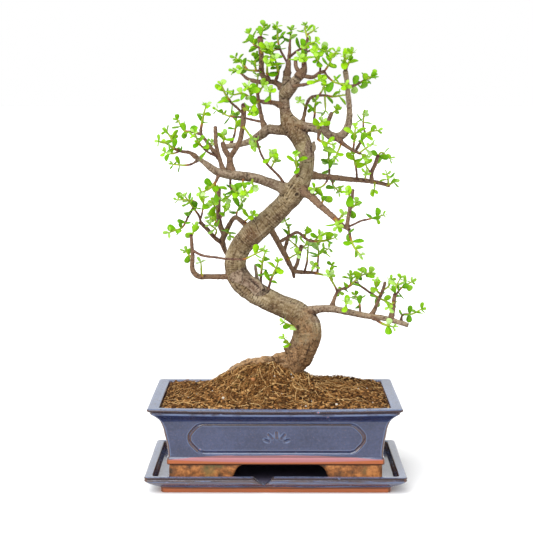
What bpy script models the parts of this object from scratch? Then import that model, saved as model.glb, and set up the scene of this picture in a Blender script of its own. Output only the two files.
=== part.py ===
"""A dwarf jade bonsai in a glazed clay pot, standing on its drip tray.

The origin is the middle of the tray's flat underside, +Z is up and the front faces -Y.
Routes of the wood were read across the tree, as (x, z) in millimetres in its middle plane,
and each is given a depth of its own, so that the crown spreads to the front and the back.
"""

import math
import random

import bmesh
import bpy
from mathutils import Matrix, Vector, noise
from mathutils.bvhtree import BVHTree

MM = 0.001
SEAT_GAP = 0.0003          # left between pieces that touch
MERGE = 0.00001

# Drip tray
TRAY_HALF_X = 0.1285
TRAY_HALF_Y = 0.0930
TRAY_LIP_TOP = 0.0158
TRAY_FLOOR = 0.0080
TRAY_BASE_HALF_X = 0.1125
TRAY_BASE_HALF_Y = 0.0770
TRAY_LIP_WIDTH = 0.0080
NOTCH_X = -0.0120
NOTCH_WIDTH = 0.0200
NOTCH_LOW = 0.0090

# Pot
POT_HALF_X = 0.1250
POT_HALF_Y = 0.0900
POT_TOP = 0.0830
POT_UNDER = TRAY_FLOOR + SEAT_GAP
FOOT_HEIGHT = 0.0175
FOOT_WALL = 0.0130
FLOOR_THICKNESS = 0.0080
RIM_WIDTH = 0.0120
LIP_DEPTH = 0.0085
BODY_SIDE = 0.0346         # how much less the pot's half depth is than its half width
ARCH_HALF_X = 0.0380
ARCH_HALF_Y = 0.0260
ARCH_SLANT = 0.0085
DRAIN_X = 0.0500
DRAIN_RADIUS = 0.0090
PANEL_HALF_X = 0.0870
PANEL_END = 0.0150
PANEL_LOW = 0.0380
PANEL_HIGH = 0.0670
PANEL_GROOVE = 0.0024
PANEL_DEPTH = 0.0012

# Drainage screens
SCREEN_HALF = 0.0150
SCREEN_THICKNESS = 0.0012
SCREEN_HOLES = 2
SCREEN_BAR = 0.0016

# Soil
SOIL_TOP_HALF = Vector((0.1104, 0.0755))
SOIL_CORNER_CUT = 0.0100
SOIL_BLOCK_TOP = 0.0800
SOIL_EDGE = 0.0815
SOIL_DOME = 0.0050
MOUND_HEIGHT = 0.0300
MOUND_MIDDLE = Vector((-0.012, 0.002))
MOUND_REACH = Vector((0.046, 0.036))
SOIL_CELLS = (14, 9)
SOIL_LUMPS = 0.0016
ROOTS = 2                  # how many of the limbs below are surface roots

# Eye level and distance of the view in which the routes were read, in millimetres
EYE_HEIGHT = 378
EYE_DISTANCE = 1656
DEPTH_SPREAD = 1.7         # how much deeper the crown is than the reaches below

# Leaves, in millimetres
LEAF_THICKNESS = 1.5
LEAF_SIDES = 6
LEAF_CLEARANCE = 0.35
PAIR_SPACING = 8.5
LEAVES_KEPT = 0.14         # of those below the pair at a shoot's tip
STRAIGHT = 16.0            # degrees of bend below which a route's place is left out

# The trunk: (x, z, depth, radius)
TRUNK = [
    (15, 62, 0, 17.0), (15, 86, 0, 16.6), (15.5, 99, 0, 15.6), (18, 110, -1, 14.5),
    (22, 120, -2, 14.0), (28, 132, -4, 14.3), (32, 144, -6, 14.8), (31, 155, -6, 14.4),
    (24, 164.5, -4, 13.0), (11, 172, -1, 11.8), (-1, 177.5, 1, 11.2), (-12, 183, 2, 11.5),
    (-24, 190, 4, 12.0), (-34, 198.5, 6, 12.6), (-40, 209, 8, 11.8), (-40.5, 221, 8, 10.8),
    (-37, 232, 7, 11.0), (-28, 244, 5, 11.5), (-15, 255.5, 3, 11.5), (-2, 267, 0, 11.0),
    (9, 278, -2, 10.7), (17, 288, -4, 11.6), (24, 298, -5, 10.4), (29, 308, -6, 8.4),
    (31.5, 320, -6, 7.8), (30, 331, -5, 8.8), (26, 341, -3, 9.4), (20, 350, -1, 10.2),
    (14, 359, 0, 9.6), (10, 369, 1, 6.2), (8.5, 380, 2, 5.5), (9, 390, 2, 5.8),
    (10.5, 398, 3, 5.0), (11.2, 406, 4, 4.2),
]

# Every other route is (reach, radii, leaf pairs, places): how far its tip lies behind (+) or in
# front (-) of its root, radii spread evenly along it, and places (x, z). It grows from the
# nearest place on the routes before it.
LIMBS = [
    (-3, (7.5, 6.5, 6.0, 5.0, 3.6), 0,
     [(13, 114), (-5, 115), (-22, 113), (-38, 108), (-48, 99), (-53, 88)]),
    (-10, (9.0, 6.5, 4.0), 0, [(17, 101), (31, 95), (39, 84)]),
    (-24, (7.5, 5.0, 4.8, 4.4, 3.6, 2.4), 0,
     [(14, 291), (3, 296), (-8, 300), (-18, 303.5), (-30, 305.5), (-42, 307), (-50, 308),
      (-58, 310), (-66, 315), (-73, 320.5), (-82, 327)]),
    (22, (7.0, 5.2, 5.6, 4.0, 3.0, 2.8), 0,
     [(16, 354), (3, 352.5), (-8, 353), (-14, 348.5), (-22, 343.5), (-34, 338.5), (-50, 336)]),
    (-18, (7.5, 4.6, 4.4, 4.6, 4.2, 3.3, 2.8, 2.6, 2.9), 0,
     [(18, 356), (30, 355.5), (40, 354), (48, 352), (56, 346.5), (64, 346), (70, 351),
      (73, 359), (74, 372), (73, 384), (71.5, 398), (69.5, 412)]),
    (-22, (7.0, 4.2, 3.6, 3.5, 3.1, 2.8, 2.5), 0,
     [(26, 164), (36, 169), (46, 171.3), (58, 171), (72, 168.5), (86, 165.3), (100, 163),
      (112, 161.3), (124, 158), (135, 154.5)]),
    (-8, (5.2, 5.6, 4.4), 0, [(9, 388), (16, 396), (22, 405)]),
    (-6, (2.4, 1.7), 0, [(30, 330), (38, 333), (38, 341)]),
    (8, (2.4, 1.7), 0, [(-14, 184), (-19, 203), (-21, 217)]),
]

# Each leafy branch is one node: its first route springs from the trunk or a limb.
BRANCHES = {
    "branch_leader": [
        (6, (3.4, 2.7, 2.5, 2.2), 2, [(11.2, 405), (12, 413), (13, 422), (14, 436), (15, 452)]),
        (10, (1.3, 0.8), 4, [(12.5, 418), (5, 431), (2, 441), (1.5, 449), (1, 457)]),
        (-14, (1.0, 0.8), 2, [(4, 433), (-2, 432), (-6, 425)]),
        (-22, (1.4, 0.8), 4, [(13, 425), (22, 432), (30, 436), (40, 441)]),
    ],
    "branch_fork": [
        (8, (4.0, 2.6, 2.0, 1.6), 0, [(22, 405), (28, 413), (28.5, 421), (29.5, 431), (32, 444)]),
        (6, (1.2, 0.8), 2, [(32, 443), (30, 450), (29, 457)]),
        (12, (1.1, 0.8), 1, [(30.5, 447), (38, 452)]),
        (22, (1.2, 0.8), 3, [(29.5, 430), (40, 433), (52, 431)]),
        (-16, (1.2, 0.8), 2, [(28.3, 418), (23.5, 425)]),
        (2, (2.2, 2.0), 0, [(24.5, 409), (20.5, 415), (19.5, 422)]),
        (-16, (2.3, 1.7), 0, [(25, 408), (37, 405), (45, 410), (49, 411)]),
        (-6, (1.1, 0.8), 3, [(48, 411), (53, 418), (57, 427), (61, 431)]),
        (-16, (1.1, 0.8), 3, [(48, 411), (52, 406), (60, 400), (70, 398)]),
        (-18, (1.1, 0.8), 3, [(44, 409.5), (44, 417), (41, 424), (39, 431)]),
    ],
    "branch_right_low": [
        (-34, (2.2, 1.5, 1.2), 2, [(12, 395), (25, 397.5), (36, 400), (46, 403)]),
    ],
    "branch_right_middle": [
        (30, (2.2, 1.6, 1.3, 0.9), 4,
         [(25, 357), (29, 368), (31, 378), (35, 385), (47, 387), (58, 386), (70, 388)]),
        (14, (1.1, 0.8), 1, [(43, 386.5), (49, 397)]),
        (-6, (1.0, 0.8), 1, [(49, 387), (50, 371)]),
        (-10, (1.0, 0.8), 1, [(31, 376), (24, 382)]),
    ],
    "branch_bend_inner": [
        (18, (1.4, 1.0), 3, [(38, 355), (39, 370), (40, 382)]),
    ],
    "branch_bend_stub": [
        (8, (2.4, 2.1), 0, [(50, 352), (53, 362), (56, 370)]),
        (4, (1.1, 0.8), 2, [(55, 368), (61, 373)]),
    ],
    "branch_bend_top": [
        (12, (1.2, 0.8), 3, [(69.5, 412), (73, 420), (77, 430)]),
        (-10, (1.0, 0.8), 2, [(70.5, 414), (69, 428)]),
    ],
    "branch_bend_side": [
        (20, (1.5, 1.1, 0.9), 5, [(72, 396), (80, 398), (90, 403), (98, 408)]),
    ],
    "branch_bend_spur": [
        (-20, (1.6, 1.1), 3, [(44, 352), (43, 343), (50, 340), (57, 338)]),
    ],
    "branch_bend_tuft": [
        (-12, (1.4, 1.0), 2, [(42, 354), (46, 362)]),
    ],
    "branch_bend_low": [
        (-16, (2.4, 2.0, 1.5), 0, [(60, 346), (68, 338.5), (76, 333), (85, 329)]),
        (14, (1.6, 1.2, 0.9), 4, [(80, 331), (84, 338), (88, 345), (93, 350), (103, 352)]),
        (22, (1.1, 0.8), 3, [(90, 347), (88, 358), (88, 369)]),
        (-10, (1.1, 0.8), 3, [(78, 332), (79, 344), (80, 356)]),
        (-6, (1.1, 0.8), 2, [(84, 329), (90, 334), (97, 338)]),
        (2, (1.1, 0.8), 2, [(83, 330), (91, 326)]),
        (-12, (1.1, 0.8), 2, [(66, 340), (63, 332), (60, 324)]),
    ],
    "branch_right_long": [
        (20, (3.6, 3.0, 2.7, 2.3, 1.9), 0,
         [(30, 308), (45, 306), (65, 304), (85, 302), (105, 299.5), (115, 296.5)]),
        (16, (1.2, 0.8), 4, [(54, 305), (54, 315), (53, 331)]),
        (-20, (1.2, 0.9), 2, [(82, 302), (80.5, 315), (78, 328)]),
        (-8, (2.2, 2.0), 0, [(97, 301), (97, 310), (100, 318), (103, 327)]),
        (6, (1.2, 0.8), 3, [(102, 322), (106, 330), (115, 324)]),
        (-14, (1.1, 0.8), 2, [(97, 309), (92, 315), (90, 324)]),
        (-18, (1.1, 0.8), 1, [(90, 301.5), (91, 309)]),
        (8, (1.3, 0.9), 2, [(112, 297), (120, 300)]),
        (-10, (1.1, 0.8), 2, [(114, 297), (112, 308)]),
        (-12, (1.0, 0.8), 1, [(100, 299.5), (99, 292)]),
        (-16, (1.1, 0.8), 1, [(54, 304), (47, 296), (38, 294)]),
        (14, (1.1, 0.8), 3, [(57, 304), (58, 297), (64, 291)]),
    ],
    "branch_right_falling": [
        (-32, (5.0, 4.2, 3.2, 2.8, 1.9), 0,
         [(25, 295), (34, 287), (42, 279.5), (50, 272), (60, 263), (68, 256), (75, 251.5)]),
        (10, (2.1, 1.6), 0, [(72, 253), (73.5, 266), (76.5, 281), (78, 293)]),
        (-10, (1.1, 0.8), 2, [(76.5, 282), (72, 290)]),
        (10, (1.1, 0.8), 3, [(74.5, 272), (82, 279)]),
        (20, (1.2, 0.8), 3, [(72, 254), (85, 260.5), (95, 263), (109, 267)]),
        (-8, (1.4, 0.9), 4, [(74, 252), (76, 242), (80, 233), (87, 226)]),
        (12, (1.2, 0.9), 3, [(45, 277), (48, 284), (43, 290)]),
        (-14, (1.2, 0.9), 2, [(60, 263), (63, 255)]),
        (16, (1.1, 0.8), 1, [(62, 261), (68, 267)]),
    ],
    "branch_inner": [
        (30, (4.0, 3.0, 3.0, 2.7, 1.6), 0,
         [(-8, 258), (-2, 247), (3, 238), (8, 229), (13, 219), (17, 210), (18.5, 203)]),
        (10, (2.4, 1.7, 1.1), 1, [(16, 209), (28, 208.5), (38, 208), (48, 206), (56, 205)]),
        (-10, (1.8, 1.2), 2, [(3, 239), (13, 245), (22, 249), (33, 241.5), (48, 240.5), (60, 244)]),
        (8, (1.1, 0.8), 2, [(29, 243), (31, 252)]),
        (-10, (1.1, 0.8), 2, [(40, 241), (45, 248)]),
        (8, (2.2, 1.6, 1.2), 3, [(8, 229), (11.5, 241), (13, 252), (9, 262)]),
        (12, (2.3, 1.8, 2.3), 0, [(17, 209), (22, 218), (24, 228), (26, 236)]),
        (14, (1.2, 0.8), 2, [(25, 233), (34, 239)]),
        (6, (1.5, 1.0), 2, [(24, 230), (20, 236), (14, 241)]),
        (-14, (1.3, 0.9), 2, [(29, 208.5), (31.5, 219), (33, 236)]),
        (22, (1.3, 0.8), 3, [(42, 207), (43, 222), (43, 237)]),
        (10, (1.0, 0.8), 2, [(43.5, 227), (54, 233)]),
        (-10, (1.2, 0.9), 1, [(54, 205), (58, 198), (64, 189)]),
        (6, (1.1, 0.8), 2, [(54, 205), (57, 216)]),
        (-16, (1.1, 0.8), 1, [(36, 208), (39, 215)]),
        (-12, (1.0, 0.8), 1, [(12, 222), (22, 228)]),
    ],
    "branch_crotch_right": [
        (-12, (1.6, 1.0), 5, [(-9, 183), (-6, 198), (-1, 210), (3, 220)]),
    ],
    "branch_crotch_left": [
        (-6, (1.5, 1.0), 4, [(-15, 187), (-15, 203), (-14, 216), (-11, 229)]),
    ],
    "branch_low_left": [
        (-16, (3.2, 2.6, 2.8, 2.2, 1.6), 0,
         [(-40, 204), (-52, 204), (-68, 204), (-79, 204.5), (-84, 210), (-84.5, 222), (-85, 234),
          (-86, 247)]),
        (-16, (1.4, 0.8), 2,
         [(-84.5, 231), (-75, 226), (-60, 223.5), (-45, 222), (-32, 222), (-22, 227), (-13, 231)]),
        (8, (1.0, 0.8), 2, [(-85.5, 244), (-82, 255)]),
        (8, (1.1, 0.9), 1, [(-75.5, 204.5), (-76, 219)]),
        (12, (1.1, 0.8), 2, [(-84.5, 222), (-91, 230)]),
    ],
    "branch_arch": [
        (30, (3.6, 2.6, 2.2, 3.2, 3.0, 1.4), 0,
         [(-24, 249), (-34, 260), (-41, 264), (-46, 259), (-51, 249), (-54, 241), (-52, 232),
          (-48, 222)]),
        (4, (3.0, 2.6, 2.2), 0, [(-52, 246), (-56, 255), (-58, 270), (-58, 283), (-57.5, 294)]),
        (-14, (2.6, 2.1, 2.2), 0, [(-53, 238), (-61, 243), (-69, 252), (-77, 260)]),
        (-8, (1.4, 1.0, 0.8), 3, [(-76, 259), (-78, 266), (-82, 272), (-86, 278), (-92, 286)]),
        (14, (1.0, 0.8), 3, [(-82, 272), (-80, 279), (-88, 282), (-100, 282)]),
        (-14, (1.1, 0.8), 3, [(-77, 262), (-74, 271), (-73, 285)]),
        (-20, (1.2, 0.9), 5, [(-83.5, 274), (-89, 265), (-94, 255), (-108, 249)]),
        (-10, (1.0, 0.8), 2, [(-62, 245), (-60, 251), (-67, 257)]),
        (16, (1.0, 0.8), 3, [(-57, 258), (-67, 265)]),
        (-14, (1.0, 0.8), 2, [(-58, 271), (-64, 279)]),
        (-16, (1.0, 0.8), 2, [(-57, 262), (-50, 273)]),
        (14, (1.0, 0.8), 3, [(-40, 263), (-39, 271), (-34, 280)]),
        (-8, (1.0, 0.8), 2, [(-50, 252), (-46, 246)]),
        (-14, (1.0, 0.8), 2, [(-33, 259), (-23, 267)]),
    ],
    "branch_two_under": [
        (-14, (1.6, 1.1), 3, [(-57, 309), (-61, 300), (-68, 293), (-76, 290)]),
        (10, (1.0, 0.8), 3, [(-61, 300), (-61, 291), (-60, 283)]),
    ],
    "branch_two_under_middle": [
        (16, (1.3, 0.9), 3, [(-46, 307), (-46, 298), (-45, 289), (-50, 283)]),
        (-16, (1.0, 0.8), 3, [(-45.5, 294), (-38, 289)]),
    ],
    "branch_two_under_inner": [
        (-14, (1.2, 0.8), 3, [(-33, 305), (-33, 297), (-29, 289)]),
    ],
    "branch_two_under_tuft": [
        (-10, (1.1, 0.8), 1, [(-24, 303), (-23, 296)]),
    ],
    "branch_two_end": [
        (-14, (1.9, 1.4, 1.0), 4,
         [(-80, 325), (-87, 330), (-95, 331), (-103, 334), (-110, 339), (-118, 341)]),
        (16, (1.1, 0.8), 3, [(-102, 333.5), (-104, 341), (-110, 352)]),
        (-18, (1.1, 0.8), 2, [(-96, 331), (-103, 329), (-112, 330)]),
    ],
    "branch_two_end_low": [
        (16, (1.3, 0.8), 2, [(-77, 323), (-85, 318.5), (-92, 317), (-104, 318)]),
    ],
    "branch_two_upright": [
        (16, (2.3, 2.1, 2.1), 0, [(-52, 308.5), (-56, 321), (-60, 338), (-61, 356)]),
        (-12, (2.4, 1.8, 1.4, 1.0), 3,
         [(-58.5, 323), (-64, 333), (-70.5, 342), (-75, 349), (-74, 360), (-70, 377)]),
        (14, (1.4, 0.9), 4, [(-74.5, 348), (-83, 350.5), (-92, 352), (-99, 363)]),
        (-26, (1.3, 0.8), 5, [(-59, 325), (-66, 329), (-72, 333), (-77, 339), (-82, 350)]),
        (16, (1.0, 0.8), 2, [(-60, 334), (-65, 340)]),
    ],
    "branch_two_fork": [
        (10, (3.6, 3.2, 3.0), 0, [(-45, 309), (-46, 318), (-46.5, 327)]),
        (8, (2.9, 2.6), 0, [(-46.5, 325), (-51, 332), (-54, 340)]),
        (10, (1.1, 0.8), 2, [(-53.5, 338), (-52, 348)]),
        (-16, (2.8, 2.4, 2.7), 0,
         [(-46.5, 325), (-41, 333), (-36.5, 341), (-34, 352), (-32.5, 365), (-32, 379)]),
        (-20, (1.3, 0.9), 4, [(-32.5, 369), (-40, 375), (-48, 384), (-55, 398)]),
        (-10, (1.1, 0.8), 3, [(-32, 374), (-24, 370)]),
        (-8, (1.2, 0.9), 1, [(-33.5, 357), (-29, 351), (-25, 344)]),
    ],
    "branch_one_end": [
        (14, (1.4, 0.9), 3, [(-46, 336.5), (-42, 347), (-40, 360), (-42, 368)]),
    ],
    "branch_one_upright": [
        (10, (2.6, 1.8, 1.4), 1, [(-11, 352), (-15, 368), (-17, 380), (-19, 393), (-18, 407)]),
        (-14, (1.0, 0.8), 2, [(-18, 388), (-12, 398)]),
        (16, (1.4, 1.1, 0.9), 5, [(-13, 361), (-22, 362.5), (-35, 365), (-48, 367), (-60, 373)]),
    ],
    "branch_one_tuft": [
        (-14, (1.1, 0.8), 2, [(-20, 345), (-20, 336)]),
    ],
    "branch_leader_left": [
        (-14, (2.6, 1.8, 1.3), 2,
         [(8, 376), (-4, 380), (-12, 380.5), (-18, 382), (-25, 384), (-33, 389), (-43, 388)]),
        (-12, (1.1, 0.8), 3, [(-24, 384), (-28, 396)]),
        (-14, (1.2, 0.8), 2, [(-6, 380.5), (-6, 392)]),
        (-12, (1.0, 0.8), 2, [(-17, 381.5), (-25, 375)]),
    ],
    "branch_leader_flat": [
        (18, (2.8, 2.2, 1.5), 2,
         [(8.5, 392), (0, 400), (-8, 400.5), (-18, 401), (-28, 403.5), (-36, 410), (-43, 412)]),
        (-8, (3.2, 2.6, 2.5, 2.9), 0,
         [(-9, 400.5), (-14, 409), (-14.5, 425), (-15, 436), (-16, 446)]),
        (-14, (1.8, 1.2), 3, [(-1, 400), (2, 410), (-1, 424)]),
        (-16, (1.8, 1.4), 1, [(-6, 400.5), (-9, 411), (-9, 419)]),
        (-14, (1.2, 0.9), 1, [(-14, 412), (-25, 412), (-34, 414)]),
        (8, (1.1, 0.8), 3, [(-20, 412), (-21, 427)]),
        (10, (1.0, 0.8), 3, [(-28, 412.5), (-33, 418), (-41, 425)]),
        (10, (1.1, 0.8), 3, [(-16, 444), (-12, 456)]),
        (14, (1.1, 0.8), 4, [(-15, 434), (-22, 438), (-27, 449)]),
        (-12, (1.0, 0.8), 2, [(-15, 430), (-7, 436)]),
    ],
    "branch_front_thin": [
        (-16, (1.6, 1.2, 1.0), 0,
         [(11, 290), (5, 304), (-3, 312), (-10, 320), (-15, 328), (-20, 346)]),
        (-10, (1.0, 0.8), 2, [(-9, 319), (-3, 329)]),
        (8, (1.0, 0.8), 1, [(-5, 314), (-1, 322)]),
    ],
    "branch_trunk_front": [
        (-14, (1.2, 0.9), 3, [(20, 297), (21, 312), (20, 328)]),
    ],
    "branch_low_upright": [
        (14, (2.1, 1.6, 1.3, 0.9), 4,
         [(57, 171), (59, 179), (64, 190), (72, 193), (81, 200), (88, 209)]),
        (8, (1.3, 1.1, 0.9), 4, [(80, 199), (90, 192), (104, 183), (119, 176)]),
        (-12, (1.1, 0.8), 1, [(63, 188), (58, 198), (54, 206)]),
        (14, (1.0, 0.8), 2, [(76, 196), (76, 206)]),
        (10, (1.0, 0.8), 3, [(85, 205), (96, 208)]),
    ],
    "branch_low_middle": [
        (18, (1.2, 0.8), 3, [(86, 166), (85, 176), (81, 186)]),
    ],
    "branch_low_tuft": [
        (-14, (1.1, 0.8), 2, [(71, 169), (72, 178)]),
    ],
    "branch_low_stub": [
        (12, (2.0, 1.6), 0, [(97, 164), (101, 172), (105, 181), (108.5, 190), (111, 199)]),
        (-8, (1.1, 0.8), 2, [(107, 186), (102, 191), (103, 200)]),
        (6, (1.1, 0.8), 2, [(108.5, 190), (114, 194), (117, 201)]),
    ],
    "branch_low_end": [
        (-6, (2.3, 2.0), 0, [(117, 160), (119, 170), (121, 187)]),
        (6, (1.1, 0.8), 3, [(120.5, 183), (122, 194), (126, 203)]),
        (16, (1.1, 0.8), 4, [(120.5, 184), (128, 193), (138, 199)]),
        (-12, (1.1, 0.8), 1, [(120, 178), (115, 173)]),
    ],
    "branch_low_tip": [
        (14, (1.2, 0.8), 4, [(127, 157), (129, 165), (139, 166), (148, 171)]),
    ],
    "branch_low_under": [
        (-20, (1.6, 1.1), 2, [(97, 163), (106, 157.5), (120, 152.5)]),
    ],
    "shoot_base_high": [
        (-8, (1.2, 0.8), 2, [(20, 147), (8, 157)]),
    ],
    "shoot_base_low": [
        (-6, (1.3, 0.9), 2, [(22, 133), (10, 139)]),
    ],
}


def clear_scene():
    """Removes every object of the opened file."""
    for existing in list(bpy.data.objects):
        bpy.data.objects.remove(existing, do_unlink=True)


def make_collection(name):
    """Returns a new collection linked to the scene."""
    made = bpy.data.collections.new(name)
    bpy.context.scene.collection.children.link(made)
    return made


def make_material(name, colour, roughness):
    """Returns a Principled material with one colour and roughness."""
    finish = bpy.data.materials.new(name)
    finish.use_nodes = True
    shader = finish.node_tree.nodes["Principled BSDF"]
    shader.inputs["Base Color"].default_value = (*colour, 1.0)
    shader.inputs["Roughness"].default_value = roughness
    shader.inputs["Metallic"].default_value = 0.0
    return finish


def add_object(name, shape, home):
    """Links a mesh or curve as an object in a collection."""
    made = bpy.data.objects.new(name, shape)
    home.objects.link(made)
    if home is CUTTERS:
        made.hide_render = True
        made.display_type = "WIRE"
    return made


def finish_mesh(work, name):
    """Turns a bmesh into a mesh datablock."""
    bmesh.ops.recalc_face_normals(work, faces=work.faces)
    shape = bpy.data.meshes.new(name)
    work.to_mesh(shape)
    work.free()
    return shape


def corner_ring(half_x, half_y, corner, steps):
    """Returns the outline of a rectangle whose corners are arcs of so many steps."""
    ring = []
    for quarter in range(4):
        sign_x = (1, -1, -1, 1)[quarter]
        sign_y = (1, 1, -1, -1)[quarter]
        for step in range(steps + 1):
            angle = math.pi / 2 * (quarter + step / steps)
            ring.append((sign_x * (half_x - corner) + corner * math.cos(angle),
                         sign_y * (half_y - corner) + corner * math.sin(angle)))
    return ring


def loft(levels, steps):
    """Returns a closed mesh through levels of (z, half x, half y, corner radius)."""
    work = bmesh.new()
    rings = []
    for z, half_x, half_y, corner in levels:
        outline = corner_ring(half_x, half_y, corner, steps)
        rings.append([work.verts.new((x, y, z)) for x, y in outline])
    count = len(rings[0])
    for lower, upper in zip(rings, rings[1:]):
        for side in range(count):
            after = (side + 1) % count
            work.faces.new((lower[side], lower[after], upper[after], upper[side]))
    work.faces.new(list(reversed(rings[0])))
    work.faces.new(rings[-1])
    return finish_mesh(work, "loft")


def box_mesh(low, high):
    """Returns a box between two corners."""
    work = bmesh.new()
    bmesh.ops.create_cube(work, size=1.0)
    size = Vector(high) - Vector(low)
    middle = (Vector(high) + Vector(low)) / 2
    bmesh.ops.scale(work, vec=size, verts=work.verts)
    bmesh.ops.translate(work, vec=middle, verts=work.verts)
    return finish_mesh(work, "box")


def mesh_of(source):
    """Returns the evaluated mesh of a curve object, welded, and removes the curve."""
    bpy.context.view_layer.update()
    graph = bpy.context.evaluated_depsgraph_get()
    shape = bpy.data.meshes.new_from_object(source.evaluated_get(graph))
    shape.transform(source.matrix_world)
    curve = source.data
    bpy.data.objects.remove(source, do_unlink=True)
    bpy.data.curves.remove(curve)
    work = bmesh.new()
    work.from_mesh(shape)
    bmesh.ops.remove_doubles(work, verts=work.verts, dist=MERGE)
    bmesh.ops.recalc_face_normals(work, faces=work.faces)
    work.to_mesh(shape)
    work.free()
    return shape


def prism_along_y(outline, y_low, y_high):
    """Returns a flat outline of (x, z) drawn out along Y."""
    curve = bpy.data.curves.new("outline", "CURVE")
    curve.dimensions = "2D"
    curve.fill_mode = "BOTH"
    curve.extrude = (y_high - y_low) / 2
    spline = curve.splines.new("POLY")
    spline.points.add(len(outline) - 1)
    for point, (x, z) in zip(spline.points, outline):
        point.co = (x, z, 0, 1)
    spline.use_cyclic_u = True
    flat = add_object("outline", curve, CUTTERS)
    flat.matrix_world = (Matrix.Translation((0, (y_low + y_high) / 2, 0))
                         @ Matrix.Rotation(math.pi / 2, 4, "X"))
    return mesh_of(flat)


def combine(base, others, operation):
    """Applies one Boolean of a list of meshes to an object, and removes them."""
    batch = make_collection("batch")
    for shape in others:
        batch.objects.link(bpy.data.objects.new("piece", shape))
    step = base.modifiers.new(operation, "BOOLEAN")
    step.operation = operation
    step.operand_type = "COLLECTION"
    step.collection = batch
    step.solver = "EXACT"
    bpy.context.view_layer.update()
    graph = bpy.context.evaluated_depsgraph_get()
    shape = bpy.data.meshes.new_from_object(base.evaluated_get(graph))
    base.modifiers.remove(step)
    base.data = shape
    for piece in list(batch.objects):
        bpy.data.objects.remove(piece, do_unlink=True)
    bpy.data.collections.remove(batch)


def tidy_mesh(target):
    """Merges what a Boolean left too close together and splits its faces into triangles."""
    work = bmesh.new()
    work.from_mesh(target.data)
    bmesh.ops.dissolve_degenerate(work, edges=work.edges, dist=MERGE / 10)
    bmesh.ops.triangulate(work, faces=work.faces)
    keep_largest(work)
    work.to_mesh(target.data)
    work.free()


def keep_largest(work):
    """Drops every loose scrap but the largest body of a bmesh."""
    left = set(work.verts)
    bodies = []
    while left:
        start = left.pop()
        body = {start}
        edge = [start]
        while edge:
            near = edge.pop()
            for link in near.link_edges:
                other = link.other_vert(near)
                if other not in body:
                    body.add(other)
                    edge.append(other)
        left -= body
        bodies.append(body)
    bodies.sort(key=len)
    for body in bodies[:-1]:
        bmesh.ops.delete(work, geom=list(body), context="VERTS")


def make_tray():
    """The drip tray: a flared dish with a broad lip and a pouring notch."""
    outer = loft([
        (0.0, TRAY_BASE_HALF_X - 0.001, TRAY_BASE_HALF_Y - 0.001, 0.006),
        (0.001, TRAY_BASE_HALF_X, TRAY_BASE_HALF_Y, 0.006),
        (0.0050, TRAY_BASE_HALF_X, TRAY_BASE_HALF_Y, 0.006),
        (0.0060, TRAY_BASE_HALF_X + 0.0025, TRAY_BASE_HALF_Y + 0.0025, 0.007),
        (0.0110, TRAY_HALF_X - 0.0010, TRAY_HALF_Y - 0.0010, 0.009),
        (0.0130, TRAY_HALF_X, TRAY_HALF_Y, 0.010),
        (TRAY_LIP_TOP - 0.0014, TRAY_HALF_X - 0.0004, TRAY_HALF_Y - 0.0004, 0.010),
        (TRAY_LIP_TOP, TRAY_HALF_X - 0.0024, TRAY_HALF_Y - 0.0024, 0.009),
    ], 2)
    inner_x = TRAY_HALF_X - TRAY_LIP_WIDTH
    inner_y = TRAY_HALF_Y - TRAY_LIP_WIDTH
    hollow = loft([
        (TRAY_FLOOR, inner_x - 0.0045, inner_y - 0.0045, 0.007),
        (TRAY_LIP_TOP - 0.001, inner_x - 0.001, inner_y - 0.001, 0.008),
        (TRAY_LIP_TOP + 0.004, inner_x + 0.001, inner_y + 0.001, 0.008),
    ], 2)
    rise = 0.010
    notch = prism_along_y([
        (NOTCH_X, NOTCH_LOW),
        (NOTCH_X + NOTCH_WIDTH / 2, TRAY_LIP_TOP),
        (NOTCH_X + NOTCH_WIDTH, TRAY_LIP_TOP + rise),
        (NOTCH_X - NOTCH_WIDTH, TRAY_LIP_TOP + rise),
        (NOTCH_X - NOTCH_WIDTH / 2, TRAY_LIP_TOP),
    ], -TRAY_HALF_Y - 0.01, -TRAY_HALF_Y + TRAY_LIP_WIDTH + 0.006)
    tray = add_object("drip_tray", outer, PARTS)
    combine(tray, [hollow, notch], "DIFFERENCE")
    tidy_mesh(tray)
    return tray


def pot_levels(inset):
    """Returns the pot's outer levels, drawn in by so much, from the band under the body to the rim."""
    foot_top = POT_UNDER + FOOT_HEIGHT
    sides = [
        (foot_top, 0.1060, 0.006), (foot_top + 0.0010, 0.1070, 0.007), (0.0325, 0.1070, 0.007),
        (0.0345, 0.1056, 0.007), (0.0420, 0.1062, 0.007), (0.0500, 0.1074, 0.007),
        (0.0600, 0.1098, 0.008), (0.0680, 0.1128, 0.009),
        (POT_TOP - LIP_DEPTH - 0.0010, 0.1152, 0.010),
        (POT_TOP - LIP_DEPTH, 0.1205, 0.011),
        (POT_TOP - LIP_DEPTH + 0.0015, POT_HALF_X - 0.0006, 0.012),
        (POT_TOP - 0.0045, POT_HALF_X, 0.012),
        (POT_TOP - 0.0012, POT_HALF_X - 0.0006, 0.012),
        (POT_TOP, POT_HALF_X - 0.0022, 0.011),
    ]
    rim_side = POT_HALF_X - POT_HALF_Y
    levels = []
    for z, half, corner in sides:
        side = rim_side if half > 0.118 else BODY_SIDE
        levels.append((z, half - inset, half - inset - side, corner))
    return levels


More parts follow.
